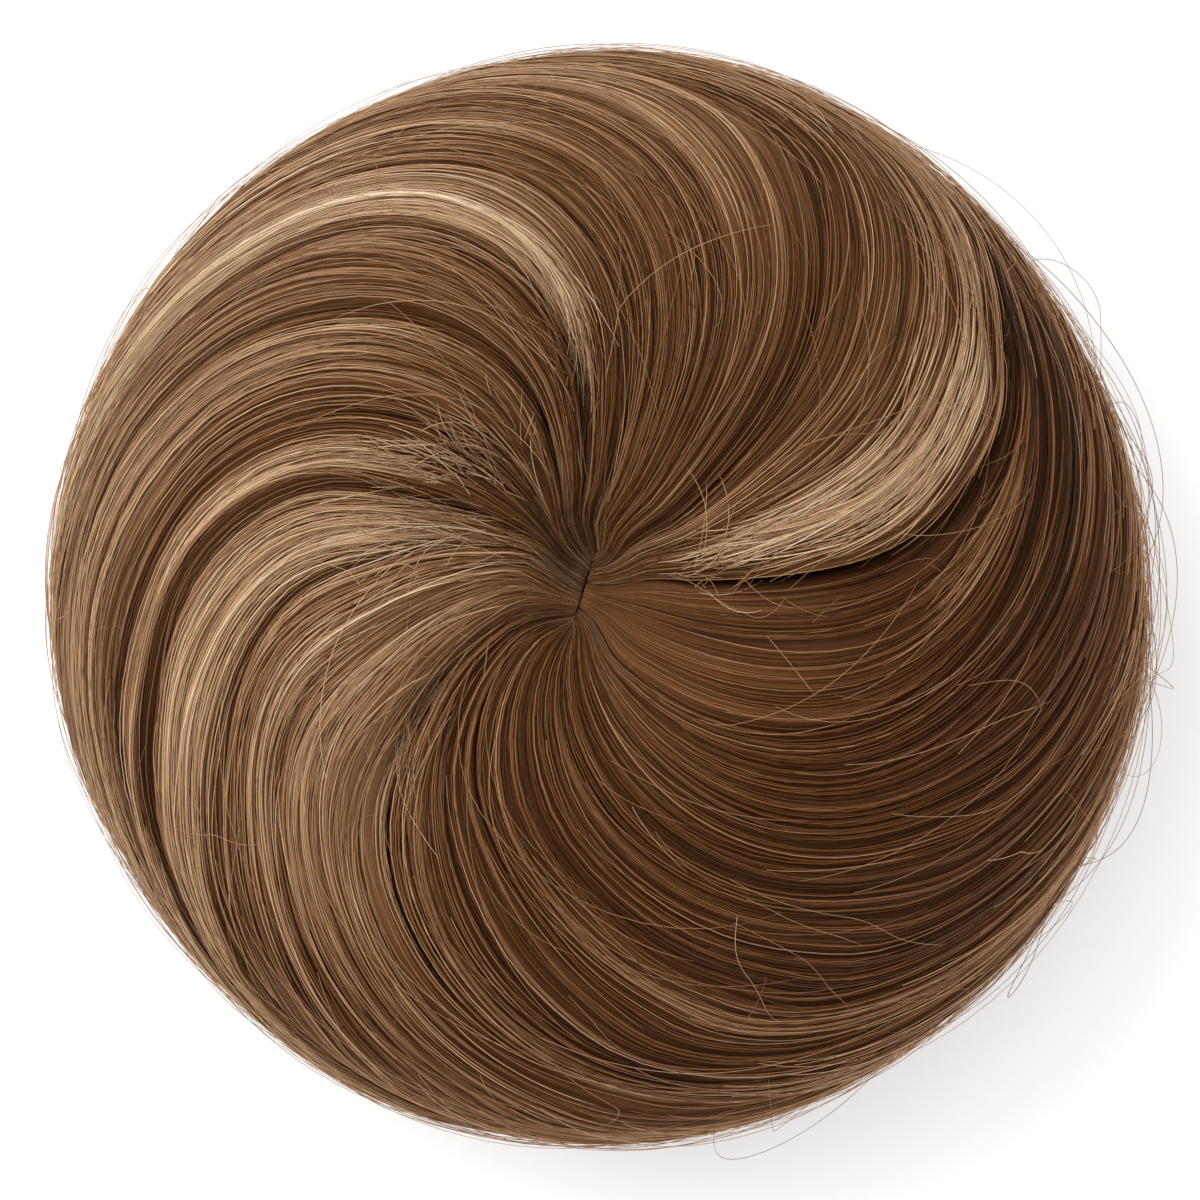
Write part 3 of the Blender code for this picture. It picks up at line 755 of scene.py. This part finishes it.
def hair_points(s, azimuth, depth, seat_share=0.0):
    """Points of the hair this far below the skin, drawn towards the seat by seat_share."""
    outward = np.stack([np.cos(azimuth), np.sin(azimuth), np.zeros_like(azimuth)], axis=-1)
    up = np.array([0.0, 0.0, 1.0])
    out_r, out_z = np.interp(s, fine_s, fine_outer_r), np.interp(s, fine_s, fine_outer_z)
    in_r, in_z = np.interp(s, fine_s, fine_inner_r), np.interp(s, fine_s, fine_inner_z)
    along = np.array([math.cos(WHORL_SLIT_AZIMUTH), math.sin(WHORL_SLIT_AZIMUTH), 0.0])
    slit = WHORL_SLIT * np.exp(-s / WHORL_REACH) + WHORL_SLIT_ENDS * np.exp(-s / WHORL_CLOSING_REACH)
    stretch = along * ((outward @ along) * slit)[..., None]
    out_z = out_z + WHORL_FILLING * np.exp(-s / WHORL_CLOSING_REACH)
    out_shift = WHORL_PLACE * (1.0 - out_r / BUN_RADIUS)[..., None]
    in_shift = WHORL_PLACE * np.clip(1.0 - in_r / SEAT_SHIFT_RADIUS, 0.0, 1.0)[..., None]
    closed_r = out_r - WHORL_CLOSING * np.exp(-s / WHORL_CLOSING_REACH)
    top = outward * closed_r[..., None] + out_shift + stretch + up * out_z[..., None]
    seat = outward * in_r[..., None] + in_shift + stretch + up * in_z[..., None]
    inwards = seat - top
    thickness = np.linalg.norm(inwards, axis=-1)
    share = np.minimum(depth / thickness, DEEPEST_SHARE)
    share = share + (SEAT_SHARE - share) * seat_share
    points = top + inwards * share[..., None]
    points[..., 2] = np.maximum(points[..., 2], LOWEST_HAIR)
    return points


def lock_ribs(k):
    """The smaller strands that one lock falls into: a function from share and run to depth and tone."""
    rng = np.random.default_rng(SWIRL_SEED + SEED_STEP * k)
    widest = float(lock_width(k)[fine_s <= station_s["widest"]].max())
    sizes = []
    for width, depth in ((RIB_WIDTH, RIB_DEPTH), (FINE_RIB_WIDTH, FINE_RIB_DEPTH)):
        count = max(2, int(round(widest / width)))
        sizes.append((count, depth, rng.uniform(0.0, 1.0), rng.uniform(*RIB_SWAYS),
                      rng.normal(0.0, 1.0, count + 3), rng.normal(0.0, 1.0, count + 3)))

    def ribs(share, run):
        below, tone = np.zeros_like(run), np.zeros_like(run)
        pulled = share
        for count, depth, phase, rate, heights, tones in sizes:
            shift = RIB_SWAY * np.sin(FULL_TURN * (rate * run + phase)) + 0.5
            place = share * count + shift
            rib = np.clip(np.floor(place).astype(int), 0, count + 2)
            crown = 0.5 - 0.5 * np.cos(FULL_TURN * place)
            below = below + depth * (1.0 - crown) - RIB_UNEVENNESS * depth * heights[rib] * crown
            tone = tone + tones[rib] * crown
            pulled = pulled + RIB_PULL * np.sin(FULL_TURN * place) / (FULL_TURN * count)
        below = below * ramp_up(run, *RIBS_RISE) * locks[k]["strand_depth"]
        return below, tone * ramp_up(run, *TONES_RISE), pulled

    return ribs


rib_maps = [lock_ribs(k) for k in range(len(locks))]
COLOUR_RUNS = [0.0] + [float(run_at_skin(station_s[name])) for name in ("crest", "upper_side", "widest")]


def lock_tint(k, share, run, streaked):
    """A lock's colour at a place: its tone from whorl to rim, which holds painted light and shade, and as
    much of its lighter and darker bands, one of them painted shade.
    """
    lock = locks[k]
    tones = [lock[key] for key in ("by_whorl", "on_crest", "at_shoulder", "at_rim")]
    tint = np.interp(run, COLOUR_RUNS, tones)
    for tone_band in streaks_and_shade:
        if tone_band["lock"] == k + 1:
            across = np.exp(-(((share - tone_band["share"]) / tone_band["half_width"]) ** 2))
            along = ramp_up(run, tone_band["run_from"], STREAK_BEGINS_OVER)
            along = along * (1.0 - ramp_up(run, tone_band["run_to"], STREAK_ENDS_OVER))
            tint = tint + tone_band["tint"] * across * along * streaked
    return tint


def lock_body(k):
    """The dense body of a lock, a little below the strands that cover it, with its colour darkened as painted
    shade, and darkest on its inner side.
    """
    run = np.linspace(0.0, 1.0, BODY_ROUNDS) ** BODY_CROWDING
    s = skin_at_run(run)
    half_gap = LOCK_GAP / 2 / (np.interp(s, fine_s, fine_inner_r) * np.interp(s, fine_s, along_skin))
    first = swirl_azimuth(np.full_like(s, k), s) + half_gap
    last = swirl_azimuth(np.full_like(s, k + BODY_EDGE), s) - half_gap
    rings, tints = [], []
    for share in BODY_OUTER_SHARES:
        flat = np.full_like(s, np.clip(share, FIRST_SHARE, LAST_SHARE))
        below, tone, _ = rib_maps[k](flat, run)
        depth = surface_depth(k + flat, s) + below + BODY_SUNK
        rings.append(hair_points(s, first + (last - first) * share, depth))
        tints.append(lock_tint(k, flat, run, BODY_STREAKED) + BODY_RIB_TINT * tone - BODY_PAINTED_SHADE)
    for share in BODY_INNER_SHARES:
        rings.append(hair_points(s, first + (last - first) * share, np.zeros_like(s), 1.0))
        tints.append(np.full_like(s, BODY_INSIDE_SHADE))
    return np.stack(rings, axis=1), np.stack(tints, axis=1)


def wander(rng, run, waves, reach):
    """A slow drift for each hair along its run."""
    total = np.zeros_like(run)
    for wave in waves:
        phase = rng.uniform(0.0, FULL_TURN, (len(run), 1))
        rate = rng.uniform(*WANDER_RATES, (len(run), 1)) * wave
        total += rng.normal(0.0, 1.0, (len(run), 1)) * np.sin(run * rate * FULL_TURN + phase)
    return total * reach


def evened_along(values, times):
    """Each row of values smoothed along its length this many times, with its ends kept."""
    for _ in range(times):
        between = (values[:, :-2] + 2.0 * values[:, 1:-1] + values[:, 2:]) / 4.0
        values = np.concatenate([values[:, :1], between, values[:, -1:]], axis=1)
    return values


def lock_hairs(rng, k, share, starts, ends, steps, fray=0.0, tint=None):
    """Hairs that follow one lock from these starts to these ends, each with its depth and colour."""
    count = len(share)
    t = np.linspace(0.0, 1.0, steps)[None, :] ** HAIR_CROWDING
    run = starts[:, None] + (ends - starts)[:, None] * t
    s = skin_at_run(run)
    width = np.interp(s, fine_s, lock_width(k))
    astray = np.minimum(np.exp(rng.normal(0.0, ASTRAY_SPREAD, (count, 1))), MOST_ASTRAY)
    course = share[:, None] + astray * wander(rng, run, ASIDE_WAVES, ASIDE_REACH) / width
    below, tone, course = rib_maps[k](course, run)
    inside = np.clip(course, EDGE_SHARE, 1.0 - EDGE_SHARE)
    course = np.clip(course, -PAST_EDGE, 1.0 + PAST_EDGE)
    course = np.maximum(course, inside) if k == 0 else course
    course = np.minimum(course, inside) if k == len(locks) - 1 else course
    layer = rng.uniform(0.0, 1.0, (count, 1)) ** LAYER_CROWDING
    depth = np.minimum(surface_depth(k + course, s), surface_depth(k + inside, s))
    depth = evened_along(depth * (1.0 - ASTRAY_LIFT * astray), 2) + below + layer * LAYER_DEPTH
    depth += wander(rng, run, DEEP_WAVES, DEEP_REACH)
    loose = fray * np.exp(-(run - starts[:, None]) * RUN_LENGTH / FRAY_LENGTH)
    course = course + loose * rng.normal(0.0, FRAY_ASIDE, (count, 1)) / width
    depth = depth - loose * np.abs(rng.normal(0.0, FRAY_LIFT, (count, 1))) - fray * LAYER_DEPTH / 2
    tuck = np.clip((run - TUCK_START) / (1.0 - TUCK_START), 0.0, 1.0) ** 2
    spread = np.clip(course, -FRAY_PAST_EDGE, 1.0 + FRAY_PAST_EDGE)
    points = hair_points(s, swirl_azimuth(k + spread, s), depth, tuck)
    plain = rng.uniform(0.0, 1.0, (count, 1)) < PLAIN_SHARE
    streaked = np.where(plain, LEAST_STREAKED, MOST_STREAKED)
    colour = lock_tint(k, np.clip(course, 0.0, 1.0), run, streaked)
    if tint is not None:
        colour = colour + (tint - colour) * FRAY_TINT_SHARE
    varied = rng.normal(0.0, locks[k]["spread"], (count, 1))
    chance = rng.uniform(0.0, 1.0, (count, 1))
    varied = varied - DARKER * (chance < DARKER_SHARE) + PALER * (chance > 1.0 - PALER_SHARE)
    by_whorl = np.exp(-run / WHORL_CONTRAST_REACH)
    colour = colour + RIB_TINT * tone * (1.0 + by_whorl) + varied * (1.0 + 2.0 * by_whorl)
    # Painted shade: hairs that lie deeper in the lock are darker
    colour = colour - LAYER_PAINTED_SHADE * layer
    from_end = np.minimum(np.linspace(0.0, 1.0, steps), np.linspace(1.0, 0.0, steps))[None, :]
    slim = np.clip(from_end * END_TAPER, THIN_END, 1.0)
    slim = slim * (THIN_BY_WHORL + (1.0 - THIN_BY_WHORL) * np.clip(run / THICK_FROM, 0.0, 1.0))
    thickness = HAIR_THICKNESS * rng.uniform(*THICKNESS_RANGE, (count, 1)) * slim
    warmth = locks[k]["warmth"] + rng.normal(0.0, WARMTH_SPREAD, (count, 1))
    return {"points": points, "thickness": thickness, "tint": np.clip(colour, 0.0, 1.0),
            "warmth": np.clip(warmth, -1.0, 1.0)}


WRAP_TOLERANCE = 0.2


def strand_tree():
    """Every line becomes one closed hair of its own thickness, with a row of the bake map."""
    tree, entry = new_group(
        "hair_strands", "GeometryNodeTree",
        {"Geometry": "Geometry", "Sides": "Int", "Hair": "Material"}, {"Geometry": "Geometry"},
    )

    def reading(name):
        """The value that the hair carries under this name."""
        return added(tree, "GeometryNodeInputNamedAttribute", {"Name": name},
                     data_type="FLOAT")

    curve = added(tree, "GeometryNodeMeshToCurve", {"Mesh": entry["Geometry"]})
    half_thickness = worked(tree, "MULTIPLY", reading("thickness"), 0.5)
    section = added(tree, "GeometryNodeCurvePrimitiveCircle",
                    {"Radius": 1.0, "Resolution": entry["Sides"]})
    number = added(tree, "GeometryNodeInputIndex")
    numbered = added(tree, "GeometryNodeStoreNamedAttribute", {
        "Geometry": section, "Name": "side", "Value": number,
    }, data_type="FLOAT", domain="POINT")
    tube = added(tree, "GeometryNodeCurveToMesh", {
        "Curve": curve, "Profile Curve": numbered,
        "Scale": half_thickness, "Fill Caps": True,
    })
    # The last side of a hair runs back to point 0, which there counts as one past the last
    side, sides = reading("side"), entry["Sides"]
    on_face = added(tree, "GeometryNodeFieldOnDomain", {0: side}, domain="FACE", data_type="FLOAT")
    wrap_mean = worked(tree, "MULTIPLY", worked(tree, "SUBTRACT", sides, 1.0), 0.5)
    off_wrap = worked(tree, "SUBTRACT", on_face, wrap_mean)
    on_wrap = worked(tree, "LESS_THAN", worked(tree, "ABSOLUTE", off_wrap), WRAP_TOLERANCE)
    wraps = worked(tree, "MULTIPLY", on_wrap, worked(tree, "LESS_THAN", side, 0.5))
    passed = worked(tree, "ADD", side, worked(tree, "MULTIPLY", wraps, sides))
    around = worked(tree, "DIVIDE", passed, sides)
    across = worked(tree, "MULTIPLY", around, reading("row_height"))
    place = added(tree, "ShaderNodeCombineXYZ",
                  {"X": reading("along"), "Y": worked(tree, "ADD", reading("row"), across)})
    mapped = added(tree, "GeometryNodeStoreNamedAttribute", {
        "Geometry": tube, "Name": "OFBake", "Value": place,
    }, data_type="FLOAT2", domain="CORNER")
    smooth = added(tree, "GeometryNodeSetShadeSmooth", {"Geometry": mapped})
    finish_tree(tree, smooth, entry["Hair"])
    return tree


# Each hair has a row of the bake map to itself: the share left free at its ends and below it, and
# the share of the row that it fills
ROW_END = 0.001
ROW_MARGIN = 0.1
ROW_FILL = 0.8


def hair_lines(name, batches):
    """Guide lines with what each hair carries: thickness, tint, warmth and its row of the map."""
    total = sum(len(batch["points"]) for batch in batches)
    points, edges = [], []
    values = {key: [] for key in ("thickness", "tint", "warmth", "along", "row", "row_height")}
    first, row = 0, 0
    for batch in batches:
        count, steps = batch["points"].shape[:2]
        points.append(batch["points"].reshape(-1, 3))
        number = first + np.arange(count * steps).reshape(count, steps)
        edges.append(np.stack([number[:, :-1], number[:, 1:]], axis=-1).reshape(-1, 2))
        for key in ("thickness", "tint", "warmth"):
            values[key].append(np.broadcast_to(batch[key], (count, steps)).ravel())
        values["along"].append(np.tile(np.linspace(ROW_END, 1.0 - ROW_END, steps), count))
        rows = (row + np.arange(count)) / total
        values["row"].append(np.repeat(rows + ROW_MARGIN / total, steps))
        values["row_height"].append(np.full(count * steps, ROW_FILL / total))
        first += count * steps
        row += count
    lines = bpy.data.meshes.new(name + "_lines")
    lines.from_pydata(np.concatenate(points).tolist(), np.concatenate(edges).tolist(), [])
    for key, parts in values.items():
        layer = lines.attributes.new(key, "FLOAT", "POINT")
        layer.data.foreach_set("value", np.concatenate(parts).astype(np.float32))
    return lines


HAIR_TONES = (
    (0.00, (0.013, 0.004, 0.001, 1.0)),
    (0.22, (0.050, 0.018, 0.005, 1.0)),
    (0.42, (0.150, 0.061, 0.020, 1.0)),
    (0.62, (0.325, 0.178, 0.088, 1.0)),
    (0.82, (0.535, 0.360, 0.208, 1.0)),
    (1.00, (0.715, 0.570, 0.390, 1.0)),
)
RED_HAIR = (1.12, 0.94, 0.80, 1.0)
ASH_HAIR = (0.98, 0.98, 1.15, 1.0)
HAIR_SHINE = 0.12
HAIR_SHINE_TINT = (1.0, 0.84, 0.66, 1.0)
HAIR_BUMP = 0.7
GLOSSIER, DULLER = 0.06, 0.08


def fibre_runs_group():
    """Fine light and dark runs along a hair, from its place along and across."""
    tree, entry = new_group(
        "fibre_runs", "ShaderNodeTree",
        {name: "Float" for name in ("Along", "Across", "Runs Along", "Runs Across")},
        {"Runs": "Float"},
    )
    place = added(tree, "ShaderNodeCombineXYZ", {
        "X": worked(tree, "MULTIPLY", entry["Along"], entry["Runs Along"]),
        "Y": worked(tree, "MULTIPLY", entry["Across"], entry["Runs Across"]),
    })
    noise = added(tree, "ShaderNodeTexNoise",
                  {"Vector": place, "Scale": 1.0, "Detail": 1.0})
    added(tree, "NodeGroupOutput", {"Runs": noise})
    return tree


def hair_colour_group():
    """Hair colour by tint, turned redder or ashier by warmth."""
    tree, entry = new_group(
        "hair_colour", "ShaderNodeTree", {"Tint": "Float", "Warmth": "Float"}, {"Colour": "Color"},
    )
    shade = ramp_of(tree, entry["Tint"], *HAIR_TONES)
    # Inputs 0, 6 and 7 of a colour mix are its share and its two colours, and output 2 is the colour
    for sign, colour in ((1.0, RED_HAIR), (-1.0, ASH_HAIR)):
        amount = worked(tree, "MULTIPLY", entry["Warmth"], sign, use_clamp=True)
        turned = added(tree, "ShaderNodeMix", {0: amount, 6: shade, 7: colour},
                       data_type="RGBA", blend_type="MULTIPLY")
        shade = turned.outputs[2]
    added(tree, "NodeGroupOutput", {"Colour": shade})
    return tree


def hair_material(name, places, runs_along, runs_across, contrast, roughness, bump_height):
    """Hair with its own tint and warmth, light and dark runs along it, and a bump from them."""
    material, tree, paint = new_material(name, roughness)
    feed(tree, paint, {"Specular IOR Level": HAIR_SHINE, "Specular Tint": HAIR_SHINE_TINT})

    def reading(attribute):
        """The value that the hair carries under this name."""
        return added(tree, "ShaderNodeAttribute", attribute_name=attribute).outputs["Fac"]

    if places == "rounds":
        rounds = added(tree, "ShaderNodeUVMap", uv_map="rounds")
        split = added(tree, "ShaderNodeSeparateXYZ", {"Vector": rounds}).outputs
        along, across = split["X"], split["Y"]
    else:
        along, across = reading("along"), reading("row")
    runs = added(tree, "ShaderNodeGroup", {
        "Along": along, "Across": across, "Runs Along": runs_along, "Runs Across": runs_across,
    }, node_tree=fibre_runs)
    shift = worked(tree, "MULTIPLY_ADD", runs, contrast, -contrast / 2)
    tint = worked(tree, "ADD", shift, reading("tint"))
    colour = added(tree, "ShaderNodeGroup", {"Tint": tint, "Warmth": reading("warmth")},
                   node_tree=hair_colour)
    gloss = added(tree, "ShaderNodeMapRange",
                  {"Value": runs, "To Min": roughness - GLOSSIER, "To Max": roughness + DULLER})
    feed(tree, paint, {"Base Color": colour, "Roughness": gloss})
    if bump_height > 0.0:
        feed(tree, paint, {"Normal": bump_of(tree, runs, HAIR_BUMP, bump_height)})
    return material


def point_values(piece, name, values):
    """Give a piece one number at each of its points; the points of its ends take the last one."""
    whole = np.full(len(piece.data.vertices), float(np.ravel(values)[-1]), dtype=np.float32)
    whole[:values.size] = np.ravel(values)
    layer = piece.data.attributes.new(name, "FLOAT", "POINT")
    layer.data.foreach_set("value", whole)


fibre_runs = fibre_runs_group()
hair_colour = hair_colour_group()
strands = strand_tree()
silky_hair = hair_material("silky_hair", places="row", runs_along=18.0, runs_across=700.0,
                           contrast=0.16, roughness=0.42, bump_height=0.0)
massed_hair = hair_material("massed_hair", places="rounds", runs_along=10.0, runs_across=300.0,
                            contrast=0.55, roughness=0.5, bump_height=0.20 * MILLIMETRE)
swirl_rng = np.random.default_rng(SWIRL_SEED)
upper_side = (fine_s > 10.0 * MILLIMETRE) & (fine_s < station_s["lower_side"])
lock_shares = np.array([lock_width(k)[upper_side].mean() for k in range(len(locks))])
lock_shares = lock_shares / lock_shares.sum()
for k, lock in enumerate(locks):
    rings, tints = lock_body(k)
    body = closed_tube(lock["name"] + "_body", rings, False)
    point_values(body, "tint", tints)
    point_values(body, "warmth", np.full_like(tints, lock["warmth"]))
    body.data.materials.append(massed_hair)
    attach(body, "root")
    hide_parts(lock["name"])

    long_count = int(LONG_HAIRS * lock_shares[k])
    short_count = int(SHORT_HAIRS * lock_shares[k])
    short_starts = swirl_rng.uniform(*SHORT_STARTS, short_count) ** SHORT_START_CROWDING
    short_ends = np.minimum(short_starts + swirl_rng.uniform(*SHORT_REACHES, short_count), 1.0)
    batches = [
        lock_hairs(swirl_rng, k, swirl_rng.uniform(*LONG_SHARES, long_count),
                   swirl_rng.uniform(*LONG_STARTS, long_count),
                   swirl_rng.uniform(*LONG_ENDS, long_count), LONG_POINTS),
        lock_hairs(swirl_rng, k, swirl_rng.uniform(*SHORT_SHARES, short_count),
                   short_starts, short_ends, SHORT_POINTS, SHORT_FRAY),
    ]
    for tuft in (tuft for tuft in frays if tuft["lock"] == k + 1):
        count = tuft["hairs"]
        share = swirl_rng.normal(tuft["share"], tuft["half_width"] * FRAY_SPREAD, count)
        radius = swirl_rng.normal(tuft["radius"], tuft["radius_spread"], count) * MILLIMETRE
        starts = run_at_radius(np.maximum(radius, FRAY_INNERMOST))
        ends = np.minimum(starts + tuft["reach"] * swirl_rng.uniform(*FRAY_REACHES, count), 1.0)
        batches.append(lock_hairs(swirl_rng, k, np.clip(share, *FRAY_SHARES), starts, ends,
                                  FRAY_POINTS, 1.0, tuft["tint"]))
    hair = grown(lock["name"] + "_strands", hair_lines(lock["name"], batches), strands,
                 {"Sides": 3, "Hair": silky_hair})
    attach(hair, "root")
    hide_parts(lock["name"])

# Loose hairs
# Single hairs have worked free of the locks: some cross the hollows between the locks and the
# swirl, some stand off the rim, and long ones loop away from it at the lower right.
LOOSE_SEED = 4
LOOSE_THICKNESS = 0.07 * MILLIMETRE
LOOSE_THICKNESS_RANGE = (0.8, 1.2)
LOOSE_TAPER, LOOSE_THIN_END = 4.0, 0.4
LOOSE_WAVES = (1.0,)
LOOSE_WANDER = 0.04
LOOSE_RUNS = (0.02, 0.97)
LOOSE_ARCH_LEAN = 0.8
LOOSE_TINT_SPREAD = 0.08
LOOSE_WARMTH_SPREAD = 0.2
# Heading is a mean and a spread and bend a spread, in radians, and the other pairs are the least and
# the most, with length and lift in mm. Those over the hollows start where the hollows are
LOOSE_COLUMNS = ("heading", "bend", "length", "lift", "points", "hairs", "swirl", "run", "tint")
HOLLOW_HAIRS = ((0.1, 0.4), 0.5, (2.5, 8.0), (-0.3, 0.4), 9)
CROSSING_HAIRS = ((0.0, 0.24), 0.25, (8.0, 34.0), (0.1, 0.7), 18, 250, (0.0, 13.0), (0.07, 0.55), 0.60)
RIM_HAIRS = ((0.0, 0.05), 0.08, (25.0, 60.0), (0.2, 1.2), 24, 240, (0.0, 13.0), (0.36, 0.52), 0.68)
LOOP_HAIRS = ((-0.03, 0.14), 0.30, (18.0, 42.0), (1.0, 4.5), 26, 40, (7.8, 11.4), (0.40, 0.52), 0.50)
HOLLOW_SPREAD_ASIDE = 0.7
HOLLOW_SPREAD_ALONG = 0.6
mean_width = np.mean([lock_width(k) for k in range(len(locks))], axis=0)


def free_hairs(rng, kind, swirl, run, tint):
    """Hairs of this kind, which start at a place in the swirl and leave it at an angle to its flow."""
    count = len(swirl)
    heading = rng.normal(*kind["heading"], (count, 1))
    bend = rng.normal(0.0, kind["bend"], (count, 1))
    length = rng.uniform(*kind["length"], (count, 1)) * MILLIMETRE
    lift = rng.uniform(*kind["lift"], (count, 1)) * MILLIMETRE
    t = np.linspace(0.0, 1.0, kind["points"])[None, :]
    turn = heading + bend * (t - 0.5)
    turn = turn + wander(rng, t + np.zeros((count, 1)), LOOSE_WAVES, LOOSE_WANDER)
    step = length / (kind["points"] - 1)
    ahead = np.cumsum(np.cos(turn) * step, axis=1)
    runs = np.clip(run[:, None] + ahead / RUN_LENGTH, *LOOSE_RUNS)
    s = skin_at_run(runs)
    width = np.interp(s, fine_s, mean_width)
    places = swirl[:, None] + np.cumsum(np.sin(turn) * step / width, axis=1)
    depth = surface_depth(places, s)
    bridge = depth[:, :1] + (depth[:, -1:] - depth[:, :1]) * t
    arch = np.sin(np.pi * t ** LOOSE_ARCH_LEAN)
    depth = evened_along(np.minimum(depth, bridge), 4) - lift * arch
    points = hair_points(s, swirl_azimuth(places, s), depth)
    slim = np.clip(LOOSE_TAPER * (1.0 - t) + LOOSE_THIN_END, 0.0, 1.0)
    thickness = LOOSE_THICKNESS * rng.uniform(*LOOSE_THICKNESS_RANGE, (count, 1)) * slim
    colour = tint + rng.normal(0.0, LOOSE_TINT_SPREAD, (count, 1))
    return {"points": points, "thickness": thickness, "tint": np.clip(colour, 0.0, 1.0),
            "warmth": rng.normal(0.0, LOOSE_WARMTH_SPREAD, (count, 1))}


loose_rng = np.random.default_rng(LOOSE_SEED)
over_hollows, *kinds = named_rows(LOOSE_COLUMNS, (HOLLOW_HAIRS, CROSSING_HAIRS, RIM_HAIRS, LOOP_HAIRS))
loose = []
for hole in holes:
    middle = run_at_radius(hole["radius"] * MILLIMETRE)
    reach = hole["half_length"] * MILLIMETRE / RUN_LENGTH
    swirl = loose_rng.normal(hole["swirl"], hole["half_width"] * HOLLOW_SPREAD_ASIDE, hole["hairs"])
    run = loose_rng.normal(middle, reach * HOLLOW_SPREAD_ALONG, hole["hairs"])
    loose.append(free_hairs(loose_rng, over_hollows, swirl, run, hole["tint"]))
for kind in kinds:
    swirl = loose_rng.uniform(*kind["swirl"], kind["hairs"])
    run = loose_rng.uniform(*kind["run"], kind["hairs"])
    loose.append(free_hairs(loose_rng, kind, swirl, run, kind["tint"]))
loose_hair = grown("loose_hairs", hair_lines("loose", loose), strands, {"Sides": 3, "Hair": silky_hair})
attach(loose_hair, "root")

# The floor, the light and the camera
# The hairpiece lies on a plain white surface under a broad soft light from the upper left, and is
# seen from straight above.
FLOOR_SIZE = 3.0
FLOOR_COLOUR = (0.94, 0.94, 0.94, 1.0)
ROOM_LIGHT = 1.27
KEY_LIGHT_PLACE = np.array([-0.75, 0.65, 0.95])
KEY_LIGHT_SIZE = 1.2
KEY_LIGHT_POWER = 13.0
LIT_POINT = np.array([0.0, 0.0, 0.03])
CAMERA_HEIGHT = 0.80
PHOTO_WIDTH = 0.120
VIEW_PLANE_HEIGHT = 0.026
VIEW_CENTRE = (0.0001, -0.0002)
SENSOR = 36.0

floor_mesh = bpy.data.meshes.new("floor")
half = FLOOR_SIZE / 2
floor_mesh.from_pydata([(-half, -half, 0.0), (half, -half, 0.0), (half, half, 0.0), (-half, half, 0.0)],
                       [], [(0, 1, 2, 3)])
floor = placed("floor", floor_mesh)
white_surface, _, floor_paint = new_material("white_surface", roughness=0.9)
floor_paint["Base Color"].default_value = FLOOR_COLOUR
floor.data.materials.append(white_surface)

world = bpy.data.worlds.new("studio")
world.use_nodes = True
world.node_tree.nodes["Background"].inputs["Color"].default_value = (1.0, 1.0, 1.0, 1.0)
world.node_tree.nodes["Background"].inputs["Strength"].default_value = ROOM_LIGHT
bpy.context.scene.world = world

softbox = bpy.data.lights.new("key", "AREA")
softbox.size = KEY_LIGHT_SIZE
softbox.energy = KEY_LIGHT_POWER
key_light = placed("key", softbox)
key_light.location = KEY_LIGHT_PLACE
aim = LIT_POINT - KEY_LIGHT_PLACE
key_light.rotation_euler = (
    math.atan2(math.hypot(aim[0], aim[1]), -aim[2]), 0.0, math.atan2(aim[1], aim[0]) - math.pi / 2
)

camera_data = bpy.data.cameras.new("camera")
camera_data.sensor_width = SENSOR
camera_data.lens = SENSOR * (CAMERA_HEIGHT - VIEW_PLANE_HEIGHT) / PHOTO_WIDTH
camera = placed("camera", camera_data)
camera.location = (VIEW_CENTRE[0], VIEW_CENTRE[1], CAMERA_HEIGHT)
bpy.context.scene.camera = camera
bpy.context.scene.view_settings.view_transform = "Standard"
